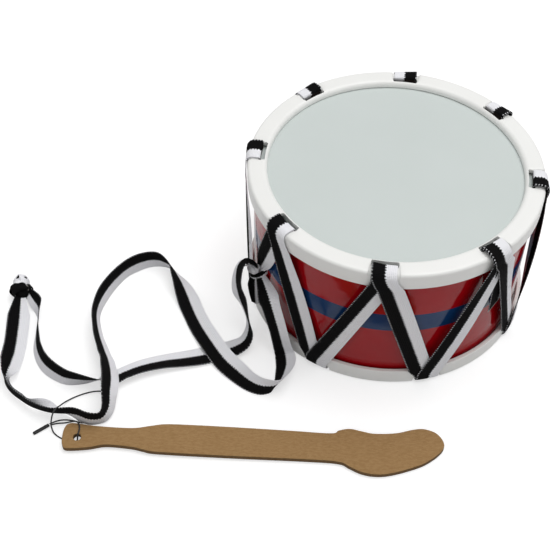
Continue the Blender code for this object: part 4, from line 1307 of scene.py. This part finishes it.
def add_floor():
    """Floor that keeps the object's shadow."""
    mesh = bpy.data.meshes.new("floor")
    corners = [(x * FLOOR_REACH, y * FLOOR_REACH, 0) for x, y in ((-1, -1), (1, -1), (1, 1), (-1, 1))]
    mesh.from_pydata(corners, [], [(0, 1, 2, 3)])
    mesh.materials.append(stage_material())
    add_object("floor", mesh)


def add_lamps():
    """Soft overhead light and two weaker fills, all turned to the object."""
    for name, spot, size, energy in LAMPS:
        data = bpy.data.lights.new(name, "AREA")
        data.shape = "DISK"
        data.size = size
        data.energy = energy
        lamp = add_object(name, data)
        lamp.location = spot
        lamp.rotation_euler = (-Vector(spot)).to_track_quat("-Z", "Y").to_euler()


def add_surrounding():
    """Even light from all sides, which the camera sees as white."""
    world = bpy.data.worlds.new("surrounding")
    world.use_nodes = True
    tree = world.node_tree
    sky = tree.nodes["Background"]
    rays = tree.nodes.new("ShaderNodeLightPath")
    level = tree.nodes.new("ShaderNodeMapRange")
    level.inputs[3].default_value = WORLD_LEVEL
    level.inputs[4].default_value = 1.0
    tree.links.new(rays.outputs["Is Camera Ray"], level.inputs[0])
    tree.links.new(level.outputs[0], sky.inputs["Strength"])
    sky.inputs["Color"].default_value = (1, 1, 1, 1)
    bpy.context.scene.world = world
    bpy.context.scene.view_settings.view_transform = "Standard"


def build():
    """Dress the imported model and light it."""
    add_camera()
    tape = woven_tape("woven tape")
    elastic = elastic_braid()
    drum_knot = add_drum_knot(tape)
    far_knot = add_far_knot(tape)
    long_strand, long_line = add_strand(
        "strap_long", LONG_STRAND_ROUTE, LONG_STRAND_CURL, "strap_long_strand", tape)
    short_strand, short_line = add_strand(
        "strap_short", SHORT_STRAND_ROUTE, SHORT_STRAND_CURL, "strap_short_strand", tape)
    loop, loop_line = add_elastic(elastic)
    crimp = add_crimp(crimp_metal())
    knots = drum_knot + far_knot
    for strand, line, ends in ((long_strand, long_line, knots), (short_strand, short_line, [])):
        line = outside_knots(line)
    lacing = add_tape("lacing", lace_rows(), tape)
    mark_slot_shade(lacing)
    finish_piece(lacing, "drum", "lace_tape", "lacing_tape")
    plastic = rim_plastic()
    add_rim("top", plastic)
    add_rim("bottom", plastic)
    add_shell(printed_shell())
    sheet = head_sheet()
    for name in ("batter_head", "bottom_head"):
        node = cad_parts[name]
        node.data.materials.clear()
        node.data.materials.append(sheet)
    face = fibreboard("fibreboard", colour(146, 113, 72), colour(163, 130, 88), colour(98, 70, 40))
    edge = fibreboard("fibreboard edge", colour(98, 74, 46), colour(118, 92, 60), colour(66, 46, 26))
    add_beater(face, edge)
    add_floor()
    add_lamps()
    add_surrounding()


build()
